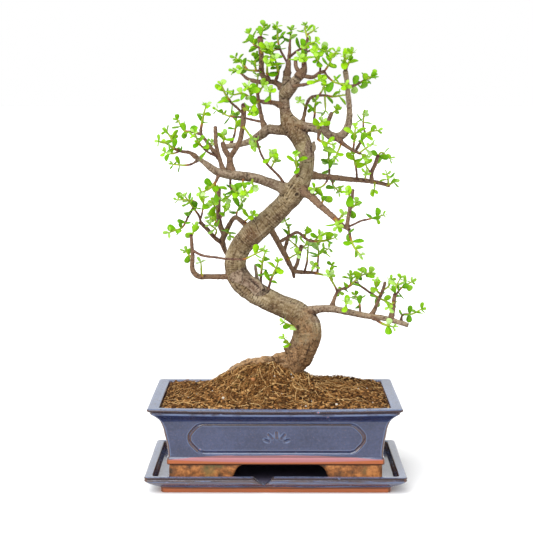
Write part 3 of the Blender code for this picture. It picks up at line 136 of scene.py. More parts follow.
# Each leafy branch: its first route springs from the trunk or a limb.
BRANCHES: dict[str, list[Route]] = {
    "branch_leader": [
        (6, (3.4, 2.7, 2.5, 2.2), 2, [11.2, 405, 12, 413, 13, 422, 14, 436, 15, 452]),
        (10, 1.3, 4, [12.5, 418, 5, 431, 2, 441, 1.5, 449, 1, 457]),
        (-14, 1.0, 2, [4, 433, -2, 432, -6, 425]),
        (-22, 1.4, 4, [13, 425, 22, 432, 30, 436, 40, 441]),
    ],
    "branch_fork": [
        (8, (4.0, 2.6, 2.0, 1.6), 0, [22, 405, 28, 413, 28.5, 421, 29.5, 431, 32, 444]),
        (6, 1.2, 2, [32, 443, 30, 450, 29, 457]),
        (12, 1.1, 1, [30.5, 447, 38, 452]),
        (22, 1.2, 3, [29.5, 430, 40, 433, 52, 431]),
        (-16, 1.2, 2, [28.3, 418, 23.5, 425]),
        (2, (2.2, 2.0), 0, [24.5, 409, 20.5, 415, 19.5, 422]),
        (-16, (2.3, 1.7), 0, [25, 408, 37, 405, 45, 410, 49, 411]),
        (-6, 1.1, 3, [48, 411, 53, 418, 57, 427, 61, 431]),
        (-16, 1.1, 3, [48, 411, 52, 406, 60, 400, 70, 398]),
        (-18, 1.1, 3, [44, 409.5, 44, 417, 41, 424, 39, 431]),
    ],
    "branch_right_low": [
        (-34, (2.2, 1.5, 1.2), 2, [12, 395, 25, 397.5, 36, 400, 46, 403]),
    ],
    "branch_right_middle": [
        (30, (2.2, 1.6, 1.3, 0.9), 4, [25, 357, 29, 368, 31, 378, 35, 385, 47, 387, 58, 386, 70, 388]),
        (14, 1.1, 1, [43, 386.5, 49, 397]),
        (-6, 1.0, 1, [49, 387, 50, 371]),
        (-10, 1.0, 1, [31, 376, 24, 382]),
    ],
    "branch_bend_inner": [
        (18, (1.4, 1.0), 3, [38, 355, 39, 370, 40, 382]),
    ],
    "branch_bend_stub": [
        (8, (2.4, 2.1), 0, [50, 352, 53, 362, 56, 370]),
        (4, 1.1, 2, [55, 368, 61, 373]),
    ],
    "branch_bend_top": [
        (12, 1.2, 3, [69.5, 412, 73, 420, 77, 430]),
        (-10, 1.0, 2, [70.5, 414, 69, 428]),
    ],
    "branch_bend_side": [
        (20, (1.5, 1.1, 0.9), 5, [72, 396, 80, 398, 90, 403, 98, 408]),
    ],
    "branch_bend_spur": [
        (-20, (1.6, 1.1), 3, [44, 352, 43, 343, 50, 340, 57, 338]),
    ],
    "branch_bend_tuft": [
        (-12, (1.4, 1.0), 2, [42, 354, 46, 362]),
    ],
    "branch_bend_low": [
        (-16, (2.4, 2.0, 1.5), 0, [60, 346, 68, 338.5, 76, 333, 85, 329]),
        (14, (1.6, 1.2, 0.9), 4, [80, 331, 84, 338, 88, 345, 93, 350, 103, 352]),
        (22, 1.1, 3, [90, 347, 88, 358, 88, 369]),
        (-10, 1.1, 3, [78, 332, 79, 344, 80, 356]),
        (-6, 1.1, 2, [84, 329, 90, 334, 97, 338]),
        (2, 1.1, 2, [83, 330, 91, 326]),
        (-12, 1.1, 2, [66, 340, 63, 332, 60, 324]),
    ],
    "branch_right_long": [
        (20, (3.6, 3.0, 2.7, 2.3, 1.9), 0, [30, 308, 45, 306, 65, 304, 85, 302, 105, 299.5, 115, 296.5]),
        (16, 1.2, 4, [54, 305, 54, 315, 53, 331]),
        (-20, (1.2, 0.9), 2, [82, 302, 80.5, 315, 78, 328]),
        (-8, (2.2, 2.0), 0, [97, 301, 97, 310, 100, 318, 103, 327]),
        (6, 1.2, 3, [102, 322, 106, 330, 115, 324]),
        (-14, 1.1, 2, [97, 309, 92, 315, 90, 324]),
        (-18, 1.1, 1, [90, 301.5, 91, 309]),
        (8, (1.3, 0.9), 2, [112, 297, 120, 300]),
        (-10, 1.1, 2, [114, 297, 112, 308]),
        (-12, 1.0, 1, [100, 299.5, 99, 292]),
        (-16, 1.1, 1, [54, 304, 47, 296, 38, 294]),
        (14, 1.1, 3, [57, 304, 58, 297, 64, 291]),
    ],
    "branch_right_falling": [
        (-32, (5.0, 4.2, 3.2, 2.8, 1.9), 0, [25, 295, 34, 287, 42, 279.5, 50, 272, 60, 263, 68, 256, 75, 251.5]),
        (10, (2.1, 1.6), 0, [72, 253, 73.5, 266, 76.5, 281, 78, 293]),
        (-10, 1.1, 2, [76.5, 282, 72, 290]),
        (10, 1.1, 3, [74.5, 272, 82, 279]),
        (20, 1.2, 3, [72, 254, 85, 260.5, 95, 263, 109, 267]),
        (-8, (1.4, 0.9), 4, [74, 252, 76, 242, 80, 233, 87, 226]),
        (12, (1.2, 0.9), 3, [45, 277, 48, 284, 43, 290]),
        (-14, (1.2, 0.9), 2, [60, 263, 63, 255]),
        (16, 1.1, 1, [62, 261, 68, 267]),
    ],
    "branch_inner": [
        (30, (4.0, 3.0, 3.0, 2.7, 1.6), 0, [-8, 258, -2, 247, 3, 238, 8, 229, 13, 219, 17, 210, 18.5, 203]),
        (10, (2.4, 1.7, 1.1), 1, [16, 209, 28, 208.5, 38, 208, 48, 206, 56, 205]),
        (-10, (1.8, 1.2), 2, [3, 239, 13, 245, 22, 249, 33, 241.5, 48, 240.5, 60, 244]),
        (8, 1.1, 2, [29, 243, 31, 252]),
        (-10, 1.1, 2, [40, 241, 45, 248]),
        (8, (2.2, 1.6, 1.2), 3, [8, 229, 11.5, 241, 13, 252, 9, 262]),
        (12, (2.3, 1.8, 2.3), 0, [17, 209, 22, 218, 24, 228, 26, 236]),
        (14, 1.2, 2, [25, 233, 34, 239]),
        (6, (1.5, 1.0), 2, [24, 230, 20, 236, 14, 241]),
        (-14, (1.3, 0.9), 2, [29, 208.5, 31.5, 219, 33, 236]),
        (22, 1.3, 3, [42, 207, 43, 222, 43, 237]),
        (10, 1.0, 2, [43.5, 227, 54, 233]),
        (-10, (1.2, 0.9), 1, [54, 205, 58, 198, 64, 189]),
        (6, 1.1, 2, [54, 205, 57, 216]),
        (-16, 1.1, 1, [36, 208, 39, 215]),
        (-12, 1.0, 1, [12, 222, 22, 228]),
    ],
    "branch_crotch_right": [
        (-12, (1.6, 1.0), 5, [-9, 183, -6, 198, -1, 210, 3, 220]),
    ],
    "branch_crotch_left": [
        (-6, (1.5, 1.0), 4, [-15, 187, -15, 203, -14, 216, -11, 229]),
    ],
    "branch_low_left": [
        (-16, (3.2, 2.6, 2.8, 2.2, 1.6), 0,
         [-40, 204, -52, 204, -68, 204, -79, 204.5, -84, 210, -84.5, 222, -85, 234, -86, 247]),
        (-16, 1.4, 2, [-84.5, 231, -75, 226, -60, 223.5, -45, 222, -32, 222, -22, 227, -13, 231]),
        (8, 1.0, 2, [-85.5, 244, -82, 255]),
        (8, (1.1, 0.9), 1, [-75.5, 204.5, -76, 219]),
        (12, 1.1, 2, [-84.5, 222, -91, 230]),
    ],
    "branch_arch": [
        (30, (3.6, 2.6, 2.2, 3.2, 3.0, 1.4), 0,
         [-24, 249, -34, 260, -41, 264, -46, 259, -51, 249, -54, 241, -52, 232, -48, 222]),
        (4, (3.0, 2.6, 2.2), 0, [-52, 246, -56, 255, -58, 270, -58, 283, -57.5, 294]),
        (-14, (2.6, 2.1, 2.2), 0, [-53, 238, -61, 243, -69, 252, -77, 260]),
        (-8, (1.4, 1.0, 0.8), 3, [-76, 259, -78, 266, -82, 272, -86, 278, -92, 286]),
        (14, 1.0, 3, [-82, 272, -80, 279, -88, 282, -100, 282]),
        (-14, 1.1, 3, [-77, 262, -74, 271, -73, 285]),
        (-20, (1.2, 0.9), 5, [-83.5, 274, -89, 265, -94, 255, -108, 249]),
        (-10, 1.0, 2, [-62, 245, -60, 251, -67, 257]),
        (16, 1.0, 3, [-57, 258, -67, 265]),
        (-14, 1.0, 2, [-58, 271, -64, 279]),
        (-16, 1.0, 2, [-57, 262, -50, 273]),
        (14, 1.0, 3, [-40, 263, -39, 271, -34, 280]),
        (-8, 1.0, 2, [-50, 252, -46, 246]),
        (-14, 1.0, 2, [-33, 259, -23, 267]),
    ],
    "branch_two_under": [
        (-14, (1.6, 1.1), 3, [-57, 309, -61, 300, -68, 293, -76, 290]),
        (10, 1.0, 3, [-61, 300, -61, 291, -60, 283]),
    ],
    "branch_two_under_middle": [
        (16, (1.3, 0.9), 3, [-46, 307, -46, 298, -45, 289, -50, 283]),
        (-16, 1.0, 3, [-45.5, 294, -38, 289]),
    ],
    "branch_two_under_inner": [
        (-14, 1.2, 3, [-33, 305, -33, 297, -29, 289]),
    ],
    "branch_two_under_tuft": [
        (-10, 1.1, 1, [-24, 303, -23, 296]),
    ],
    "branch_two_end": [
        (-14, (1.9, 1.4, 1.0), 4, [-80, 325, -87, 330, -95, 331, -103, 334, -110, 339, -118, 341]),
        (16, 1.1, 3, [-102, 333.5, -104, 341, -110, 352]),
        (-18, 1.1, 2, [-96, 331, -103, 329, -112, 330]),
    ],
    "branch_two_end_low": [
        (16, 1.3, 2, [-77, 323, -85, 318.5, -92, 317, -104, 318]),
    ],
    "branch_two_upright": [
        (16, (2.3, 2.1, 2.1), 0, [-52, 308.5, -56, 321, -60, 338, -61, 356]),
        (-12, (2.4, 1.8, 1.4, 1.0), 3, [-58.5, 323, -64, 333, -70.5, 342, -75, 349, -74, 360, -70, 377]),
        (14, (1.4, 0.9), 4, [-74.5, 348, -83, 350.5, -92, 352, -99, 363]),
        (-26, 1.3, 5, [-59, 325, -66, 329, -72, 333, -77, 339, -82, 350]),
        (16, 1.0, 2, [-60, 334, -65, 340]),
    ],
    "branch_two_fork": [
        (10, (3.6, 3.2, 3.0), 0, [-45, 309, -46, 318, -46.5, 327]),
        (8, (2.9, 2.6), 0, [-46.5, 325, -51, 332, -54, 340]),
        (10, 1.1, 2, [-53.5, 338, -52, 348]),
        (-16, (2.8, 2.4, 2.7), 0, [-46.5, 325, -41, 333, -36.5, 341, -34, 352, -32.5, 365, -32, 379]),
        (-20, (1.3, 0.9), 4, [-32.5, 369, -40, 375, -48, 384, -55, 398]),
        (-10, 1.1, 3, [-32, 374, -24, 370]),
        (-8, (1.2, 0.9), 1, [-33.5, 357, -29, 351, -25, 344]),
    ],
    "branch_one_end": [
        (14, (1.4, 0.9), 3, [-46, 336.5, -42, 347, -40, 360, -42, 368]),
    ],
    "branch_one_upright": [
        (10, (2.6, 1.8, 1.4), 1, [-11, 352, -15, 368, -17, 380, -19, 393, -18, 407]),
        (-14, 1.0, 2, [-18, 388, -12, 398]),
        (16, (1.4, 1.1, 0.9), 5, [-13, 361, -22, 362.5, -35, 365, -48, 367, -60, 373]),
    ],
    "branch_one_tuft": [
        (-14, 1.1, 2, [-20, 345, -20, 336]),
    ],
    "branch_leader_left": [
        (-14, (2.6, 1.8, 1.3), 2, [8, 376, -4, 380, -12, 380.5, -18, 382, -25, 384, -33, 389, -43, 388]),
        (-12, 1.1, 3, [-24, 384, -28, 396]),
        (-14, 1.2, 2, [-6, 380.5, -6, 392]),
        (-12, 1.0, 2, [-17, 381.5, -25, 375]),
    ],
    "branch_leader_flat": [
        (18, (2.8, 2.2, 1.5), 2, [8.5, 392, 0, 400, -8, 400.5, -18, 401, -28, 403.5, -36, 410, -43, 412]),
        (-8, (3.2, 2.6, 2.5, 2.9), 0, [-9, 400.5, -14, 409, -14.5, 425, -15, 436, -16, 446]),
        (-14, (1.8, 1.2), 3, [-1, 400, 2, 410, -1, 424]),
        (-16, (1.8, 1.4), 1, [-6, 400.5, -9, 411, -9, 419]),
        (-14, (1.2, 0.9), 1, [-14, 412, -25, 412, -34, 414]),
        (8, 1.1, 3, [-20, 412, -21, 427]),
        (10, 1.0, 3, [-28, 412.5, -33, 418, -41, 425]),
        (10, 1.1, 3, [-16, 444, -12, 456]),
        (14, 1.1, 4, [-15, 434, -22, 438, -27, 449]),
        (-12, 1.0, 2, [-15, 430, -7, 436]),
    ],
    "branch_front_thin": [
        (-16, (1.6, 1.2, 1.0), 0, [11, 290, 5, 304, -3, 312, -10, 320, -15, 328, -20, 346]),
        (-10, 1.0, 2, [-9, 319, -3, 329]),
        (8, 1.0, 1, [-5, 314, -1, 322]),
    ],
    "branch_trunk_front": [
        (-14, (1.2, 0.9), 3, [20, 297, 21, 312, 20, 328]),
    ],
    "branch_low_upright": [
        (14, (2.1, 1.6, 1.3, 0.9), 4, [57, 171, 59, 179, 64, 190, 72, 193, 81, 200, 88, 209]),
        (8, (1.3, 1.1, 0.9), 4, [80, 199, 90, 192, 104, 183, 119, 176]),
        (-12, 1.1, 1, [63, 188, 58, 198, 54, 206]),
        (14, 1.0, 2, [76, 196, 76, 206]),
        (10, 1.0, 3, [85, 205, 96, 208]),
    ],
    "branch_low_middle": [
        (18, 1.2, 3, [86, 166, 85, 176, 81, 186]),
    ],
    "branch_low_tuft": [
        (-14, 1.1, 2, [71, 169, 72, 178]),
    ],
    "branch_low_stub": [
        (12, (2.0, 1.6), 0, [97, 164, 101, 172, 105, 181, 108.5, 190, 111, 199]),
        (-8, 1.1, 2, [107, 186, 102, 191, 103, 200]),
        (6, 1.1, 2, [108.5, 190, 114, 194, 117, 201]),
    ],
    "branch_low_end": [
        (-6, (2.3, 2.0), 0, [117, 160, 119, 170, 121, 187]),
        (6, 1.1, 3, [120.5, 183, 122, 194, 126, 203]),
        (16, 1.1, 4, [120.5, 184, 128, 193, 138, 199]),
        (-12, 1.1, 1, [120, 178, 115, 173]),
    ],
    "branch_low_tip": [
        (14, 1.2, 4, [127, 157, 129, 165, 139, 166, 148, 171]),
    ],
    "branch_low_under": [
        (-20, (1.6, 1.1), 2, [97, 163, 106, 157.5, 120, 152.5]),
    ],
    "shoot_base_high": [
        (-8, 1.2, 2, [20, 147, 8, 157]),
    ],
    "shoot_base_low": [
        (-7, 1.3, 3, [21, 132, 13, 136, 8, 141.5]),
    ],
}


class Wire:
    """A node socket that can be used in Python expressions on plain numbers."""

    def __init__(self, sheet: NodeSheet, socket: bpy.types.NodeSocket) -> None:
        """Wraps an output socket of a node sheet."""
        self.sheet = sheet
        self.socket = socket

    def _math(self, operation: str, *values: Wire | float) -> Wire:
        """Adds one Math node and returns its output."""
        return self.sheet.add("ShaderNodeMath", {"operation": operation}, dict(enumerate(values)))[0]

    def __add__(self, other: Wire | float) -> Wire:
        """Adds."""
        return self._math("ADD", self, other)

    def __radd__(self, other: Wire | float) -> Wire:
        """Adds, from the right."""
        return self._math("ADD", other, self)

    def __sub__(self, other: Wire | float) -> Wire:
        """Subtracts."""
        return self._math("SUBTRACT", self, other)

    def __rsub__(self, other: Wire | float) -> Wire:
        """Subtracts this from another value."""
        return self._math("SUBTRACT", other, self)

    def __mul__(self, other: Wire | float) -> Wire:
        """Multiplies."""
        return self._math("MULTIPLY", self, other)

    def __rmul__(self, other: Wire | float) -> Wire:
        """Multiplies, from the right."""
        return self._math("MULTIPLY", other, self)

    def __truediv__(self, other: Wire | float) -> Wire:
        """Divides."""
        return self._math("DIVIDE", self, other)

    def __pow__(self, other: float) -> Wire:
        """Raises to a power."""
        return self._math("POWER", self, other)

    def __abs__(self) -> Wire:
        """Drops the sign."""
        return self._math("ABSOLUTE", self)

    def sine(self) -> Wire:
        """Returns the sine."""
        return self._math("SINE", self)

    def largest(self, other: Wire | float) -> Wire:
        """Returns the larger of two values."""
        return self._math("MAXIMUM", self, other)

    def above(self, low: float, high: float) -> Wire:
        """Rises smoothly from 0 at low to 1 at high, or falls where low is the larger."""
        feeds = {"Value": self, "From Min": low, "From Max": high}
        return self.sheet.add("ShaderNodeMapRange", {"interpolation_type": "SMOOTHSTEP"}, feeds)[0]

    def band(self, low: float, full: float, still: float, high: float) -> Wire:
        """Rises from 0 at low to 1 at full, and falls back from still to high."""
        return self.above(low, full) * (1.0 - self.above(still, high))


class NodeSheet:
    """The node tree of one material, built from Python."""

    def __init__(self, name: str) -> None:
        """Makes a material with one Principled shader.

        Args:
            name: The material's name.
        """
        self.material = bpy.data.materials.new(name)
        self.material.use_nodes = True
        self.tree = self.material.node_tree
        self.shader = self.tree.nodes["Principled BSDF"]

    def add(self, kind: str, settings: dict | None = None, feeds: dict | None = None) -> list[Wire]:
        """Adds a node, sets it and feeds its sockets.

        Args:
            kind: The node's type.
            settings: Properties of the node, or colour stops under the key "stops".
            feeds: What each input takes, by the socket's name or number.

        Returns:
            The node's outputs.
        """
        node = self.tree.nodes.new(kind)
        for key, value in (settings or {}).items():
            if key == "stops":
                self._set_stops(node.color_ramp, value)
            else:
                setattr(node, key, value)
        for key, value in (feeds or {}).items():
            self._feed(node.inputs[key], value)
        return [Wire(self, socket) for socket in node.outputs]

    def _set_stops(self, ramp: bpy.types.ColorRamp, stops: Sequence[Stop]) -> None:
        """Gives a ramp its colour stops.

        Args:
            ramp: The ramp.
            stops: Places from 0 to 1 with their colours.
        """
        while len(ramp.elements) < len(stops):
            ramp.elements.new(1.0)
        for element, (place, colour) in zip(ramp.elements, stops):
            element.position = place
            element.color = (*colour, 1.0)

    def _feed(self, socket: bpy.types.NodeSocket, value: object) -> None:
        """Links a wire to a socket or sets its value.

        Args:
            socket: The input.
            value: A wire, a number, a vector or a colour.
        """
        if isinstance(value, Wire):
            self.tree.links.new(value.socket, socket)
        elif isinstance(value, (int, float)):
            socket.default_value = value
        elif len(socket.default_value) == 4:
            socket.default_value = (*value, 1.0)
        else:
            socket.default_value = value

    def place(self) -> Wire:
        """Returns the surface point in object coordinates."""
        return self.add("ShaderNodeTexCoord")[OBJECT_PLACE]

    def axes(self) -> list[Wire]:
        """Returns the surface point's X, Y and Z."""
        return self.add("ShaderNodeSeparateXYZ", feeds={0: self.place()})

    def facing(self) -> Wire:
        """Returns how far the surface faces up, from -1 to 1."""
        return self.add("ShaderNodeSeparateXYZ", feeds={0: self.add("ShaderNodeNewGeometry")[SURFACE_NORMAL]})[2]

    def mark(self, name: str) -> Wire:
        """Returns a value that the mesh carries for each point."""
        return self.add("ShaderNodeAttribute", {"attribute_name": name})[MARK_VALUE]

    def flow(self) -> Wire:
        """Returns the place along and around a stem, which the mesh carries for each point."""
        return self.add("ShaderNodeAttribute", {"attribute_name": "flow"})[MARK_VECTOR]

    def grain(self, scale: float, detail: float = 3.0, rough: float = 0.5,
              stretch: tuple[float, float, float] | None = None, where: Wire | None = None) -> Wire:
        """Returns a noise pattern from 0 to 1.

        Args:
            scale: How many features lie along a metre.
            detail: How many finer layers there are.
            rough: How strong the finer layers are.
            stretch: Optional factors along X, Y and Z.
            where: The place that is read, if not the object's own.

        Returns:
            The pattern.
        """
        spot = where or self.place()
        if stretch:
            spot = self.add("ShaderNodeMapping", feeds={"Vector": spot, "Scale": stretch})[0]
        feeds = {"Vector": spot, "Scale": scale, "Detail": detail, "Roughness": rough}
        return self.add("ShaderNodeTexNoise", feeds=feeds)[0]

    def specks(self, scale: float) -> tuple[Wire, Wire]:
        """Returns the distance to scattered points, so many a metre, and a random number for each."""
        gap, cell = self.add("ShaderNodeTexVoronoi", {"feature": "F1"}, {"Vector": self.place(), "Scale": scale})[:2]
        return gap, self.add("ShaderNodeSeparateColor", feeds={0: cell})[0]

    def ramp(self, value: Wire, *stops: Stop) -> Wire:
        """Turns a value from 0 to 1 into a colour."""
        return self.add("ShaderNodeValToRGB", {"stops": stops}, {0: value})[0]

    def blend(self, share: Wire | float, first: Wire | Colour, second: Wire | Colour) -> Wire:
        """Mixes two colours, by the second one's share."""
        feeds = {MIX_SHARE: share, MIX_FIRST: first, MIX_SECOND: second}
        return self.add("ShaderNodeMix", {"data_type": "RGBA"}, feeds)[MIX_COLOUR]

    def coats(self, colour: Wire, *coats: tuple[Wire | float, Wire | Colour]) -> Wire:
        """Lays colours over another one, in order.

        Args:
            colour: The lowest colour.
            coats: How much of each coat shows, with its colour.

        Returns:
            The colour that is seen.
        """
        for share, coat in coats:
            colour = self.blend(share, colour, coat)
        return colour

    def relief(self, height: Wire, depth: float, strength: float = 1.0) -> None:
        """Feeds the shader's normal with a bump, whose height of 1 stands for a depth in metres."""
        feeds = {"Height": height, "Distance": depth, "Strength": strength}
        self.finish({"Normal": self.add("ShaderNodeBump", feeds=feeds)[0]})

    def dull(self, share: Wire, colour: Colour) -> None:
        """Lays a matt shader over the surface.

        Args:
            share: Where it shows.
            colour: Its colour.
        """
        matt = self.add("ShaderNodeBsdfDiffuse", feeds={"Color": colour})[0]
        mixed = self.add("ShaderNodeMixShader", feeds={0: share, 1: Wire(self, self.shader.outputs[0]), 2: matt})[0]
        self.tree.links.new(mixed.socket, self.tree.nodes["Material Output"].inputs["Surface"])

    def finish(self, feeds: dict) -> Material:
        """Feeds the shader's own sockets.

        Args:
            feeds: What each of them takes.

        Returns:
            The material.
        """
        for key, value in feeds.items():
            self._feed(self.shader.inputs[key], value)
        return self.material


@dataclass(frozen=True)
class Glaze:
    """Slate-blue glaze that breaks to dark brown on edges and ends above bare clay."""

    name: str
    line_middle: float
    line_corner: float
    clay_top: float
    foot_top: float
    half_x: float
    lip: float
    groove: float
    shadow_x: float = 0.0
    sag: float = 0.0
    edging: float = 0.0022
    matt: float = 0.0
    shadow_navy: Colour = (0.008, 0.011, 0.040)
    deep: Colour = (0.012, 0.018, 0.052)
    slate: Colour = (0.034, 0.045, 0.105)
    pale: Colour = (0.120, 0.170, 0.300)
    sky: Colour = (0.125, 0.180, 0.310)
    broken: Colour = (0.018, 0.006, 0.009)
    blush: Colour = (0.300, 0.112, 0.132)
    terracotta: Colour = (0.340, 0.082, 0.024)
    biscuit: Colour = (0.230, 0.090, 0.024)
    stain: Colour = (0.020, 0.013, 0.006)

    def make(self) -> Material:
        """Makes the finish.

        Returns:
            The material.
        """
        sheet = NodeSheet(self.name)
        x, y, z = sheet.axes()
        bend = sheet.mark("bend")
        corner = sheet.mark("corner")
        fine = sheet.grain(420.0, 3.0, 0.65)
        facing = sheet.facing()
        span = (x / self.half_x) ** 2.0
        rim = z + (1.0 - span * 0.73) * self.sag
        tone = (sheet.grain(26.0, 4.0, 0.6) * 0.55 + fine * 0.45).above(0.30, 0.72)
        ridge = bend.above(0.56, 0.66) * sheet.grain(90.0, 3.0).above(0.30, 0.52)
        # Painted shadow: a navy band on the wall just under the rim's lip, where the lip's overhang shades it.
        lip_shadow = rim.band(self.lip - 0.0062, self.lip - 0.0036, self.lip - 0.0010, self.lip)
        # Painted highlight: a pale band along the rim's lower bead.
        bead_highlight = rim.band(self.lip, self.lip + 0.0012, self.groove - 0.0014, self.groove - 0.0006)
        glaze = sheet.coats(
            sheet.blend(tone, self.deep, self.slate),
            # Painted shade: concave creases, such as the cove under the lip and the pressed grooves, turn to the deep
            # glaze colour.
            (bend.above(0.46, 0.30) * 0.55, self.deep),
            (ridge * 0.92, self.broken),
            # Painted highlight: a pale sheen on convex rounded edges, away from the upright corners.
            (bend.band(0.53, 0.56, 0.57, 0.64) * (1.0 - corner) * 0.5, self.pale),
            (lip_shadow * 0.70, self.shadow_navy),
            (bead_highlight * sheet.grain(75.0, 3.0).above(0.32, 0.55) * 0.75, self.pale))
        # Painted shade: on the pot, a dark line along the top of the pressed cartouche, where the groove's upper flank
        # faces down.
        if self.sag:
            line = z.band(0.0657, 0.0662, 0.0674, 0.0679) * abs(x).above(0.0760, 0.0720)
            line = line * y.above(-0.0620, -0.0660) * sheet.grain(40.0, 2.0).above(0.20, 0.38)
            glaze = sheet.blend(line * 0.95, glaze, self.broken)
        break_up = rim + (sheet.grain(190.0, 3.0) - 0.5) * 0.0016
        edging = break_up.band(self.groove - 0.0009, self.groove - 0.0004, self.groove + self.edging,
                               self.groove + self.edging + 0.0006) * facing.above(0.97, 0.80)
        # Faces that look up turn pale sky blue: partly a lighter glaze on the rim's top, partly a painted reflection
        # of the white surround. They also carry the glaze's dark specks.
        level = facing.above(0.60, 0.95) * (1.0 - edging)
        specks = sheet.grain(420.0, 4.0, 0.6).above(0.53, 0.59)
        glaze = sheet.coats(glaze, (level * 0.55, self.sky), (level * specks * 0.70, (0.034, 0.030, 0.048)))
        if self.shadow_x:
            streak = sheet.grain(420.0, 3.0, 0.6, (0.07, 1.0, 1.0))
            steep = facing.above(0.60, 0.30)
            glaze = sheet.coats(glaze, (steep * streak.above(0.50, 0.58) * 0.60, (0.085, 0.058, 0.056)),
                                (steep * streak.above(0.46, 0.38) * 0.45, self.pale))
        worn = (corner + (sheet.grain(170.0, 3.0) - 0.5) * 0.9).above(0.45, 0.80)
        dots, pick = sheet.specks(95.0)
        few = pick.above(0.74, 0.76)
        glaze = sheet.coats(
            glaze,
            (edging, self.broken),
            (worn * 0.85, (0.085, 0.038, 0.024)),
            (dots.above(0.20, 0.10) * few * 0.6, self.pale),
            (dots.above(0.10, 0.055) * few * 0.9, (0.33, 0.075, 0.02)),
            (sheet.grain(1500.0, 2.0).above(0.60, 0.70) * 0.35, (0.20, 0.13, 0.13)))
        wave = (sheet.grain(22.0, 3.0) - 0.5) * 0.0035
        edge = self.line_middle - (self.line_middle - self.line_corner) * span + wave
        bare = (z - edge).above(0.0004, -0.0004)
        colour = sheet.blend(bare, glaze, self.clay(sheet, z, span, fine, bend, worn))
        rough = bare * 0.62 + (1.0 - bare) * (0.16 + fine * 0.10)
        coat = (1.0 - bare) * (1.0 - edging * 0.9) * (1.0 - level * self.matt) * 0.45
        sheet.relief(fine * 0.6 + sheet.grain(130.0, 3.0) * 0.8, 0.00022, 0.55)
        # Painted shadow: a dark matt sheet on the tray's floor where the pot shades it.
        if self.shadow_x:
            far = self.painted_pot_shadow(x, y) * z.above(0.0105, 0.0095) * z.above(0.0068, 0.0076)
            sheet.dull(far, (0.080, 0.072, 0.110))
        return sheet.finish({"Base Color": colour, "Roughness": rough, "Coat Weight": coat,
                             "Coat Roughness": 0.08, "IOR": 1.45})

    def clay(self, sheet: NodeSheet, z: Wire, span: Wire, fine: Wire, bend: Wire, worn: Wire) -> Wire:
        """Returns the bare clay's colour, blushed near the glaze and stained on the foot.

        Args:
            sheet: The material's nodes.
            z: The height.
            span: How near the ends a place is, squared.
            fine: The fine grain.
            bend: How the surface bends.
            worn: Where corners are worn.

        Returns:
            The colour.
        """
        foot = z - self.foot_top
        # Painted shadow: a dark line where the base band meets the feet.
        seam_shadow = foot.band(-0.0012, -0.0004, 0.0008, 0.0016)
        blush_share = (z - (span * 0.0024 + (self.clay_top - 0.0020))).above(-0.0004, 0.0012)
        dirty = sheet.ramp(sheet.grain(75.0, 4.0, 0.7), (0.34, self.stain), (0.42, (0.120, 0.045, 0.013)),
                           (0.50, (0.215, 0.074, 0.017)), (0.60, (0.440, 0.170, 0.045)))
        olive = sheet.grain(50.0, 3.0).above(0.56, 0.68)
        return sheet.coats(
            sheet.blend(fine.above(0.25, 0.75) * 0.45, self.terracotta, self.biscuit),
            (blush_share, sheet.blend(fine * 0.4, self.blush, (0.38, 0.175, 0.16))),
            (foot.above(0.0006, -0.0006), sheet.blend(olive * 0.5, dirty, (0.14, 0.125, 0.035))),
            # Painted shade: concave creases of the bare clay darken.
            (bend.above(0.47, 0.40) * 0.7, self.stain),
            (seam_shadow * 0.80, (0.060, 0.022, 0.010)),
            (worn * (1.0 - seam_shadow) * 0.55, (0.075, 0.032, 0.014)))

    def painted_pot_shadow(self, x: Wire, y: Wire) -> Wire:
        """Finds where the tray's floor gets a painted shadow: under the pot, and in a strip seen through its front
        arch.

        Args:
            x: The place along the front.
            y: The place from front to back.

        Returns:
            The share that is in painted shadow.
        """
        gutter = y.above(-0.0650, -0.0670) * y.above(-0.0760, -0.0730) * abs(x).above(0.050, 0.036)
        under = abs(x).above(self.shadow_x, self.shadow_x - 0.004) * \
            abs(y).above(self.shadow_x - 0.0346, self.shadow_x - 0.0386)
        return under.largest(gutter * 0.7)


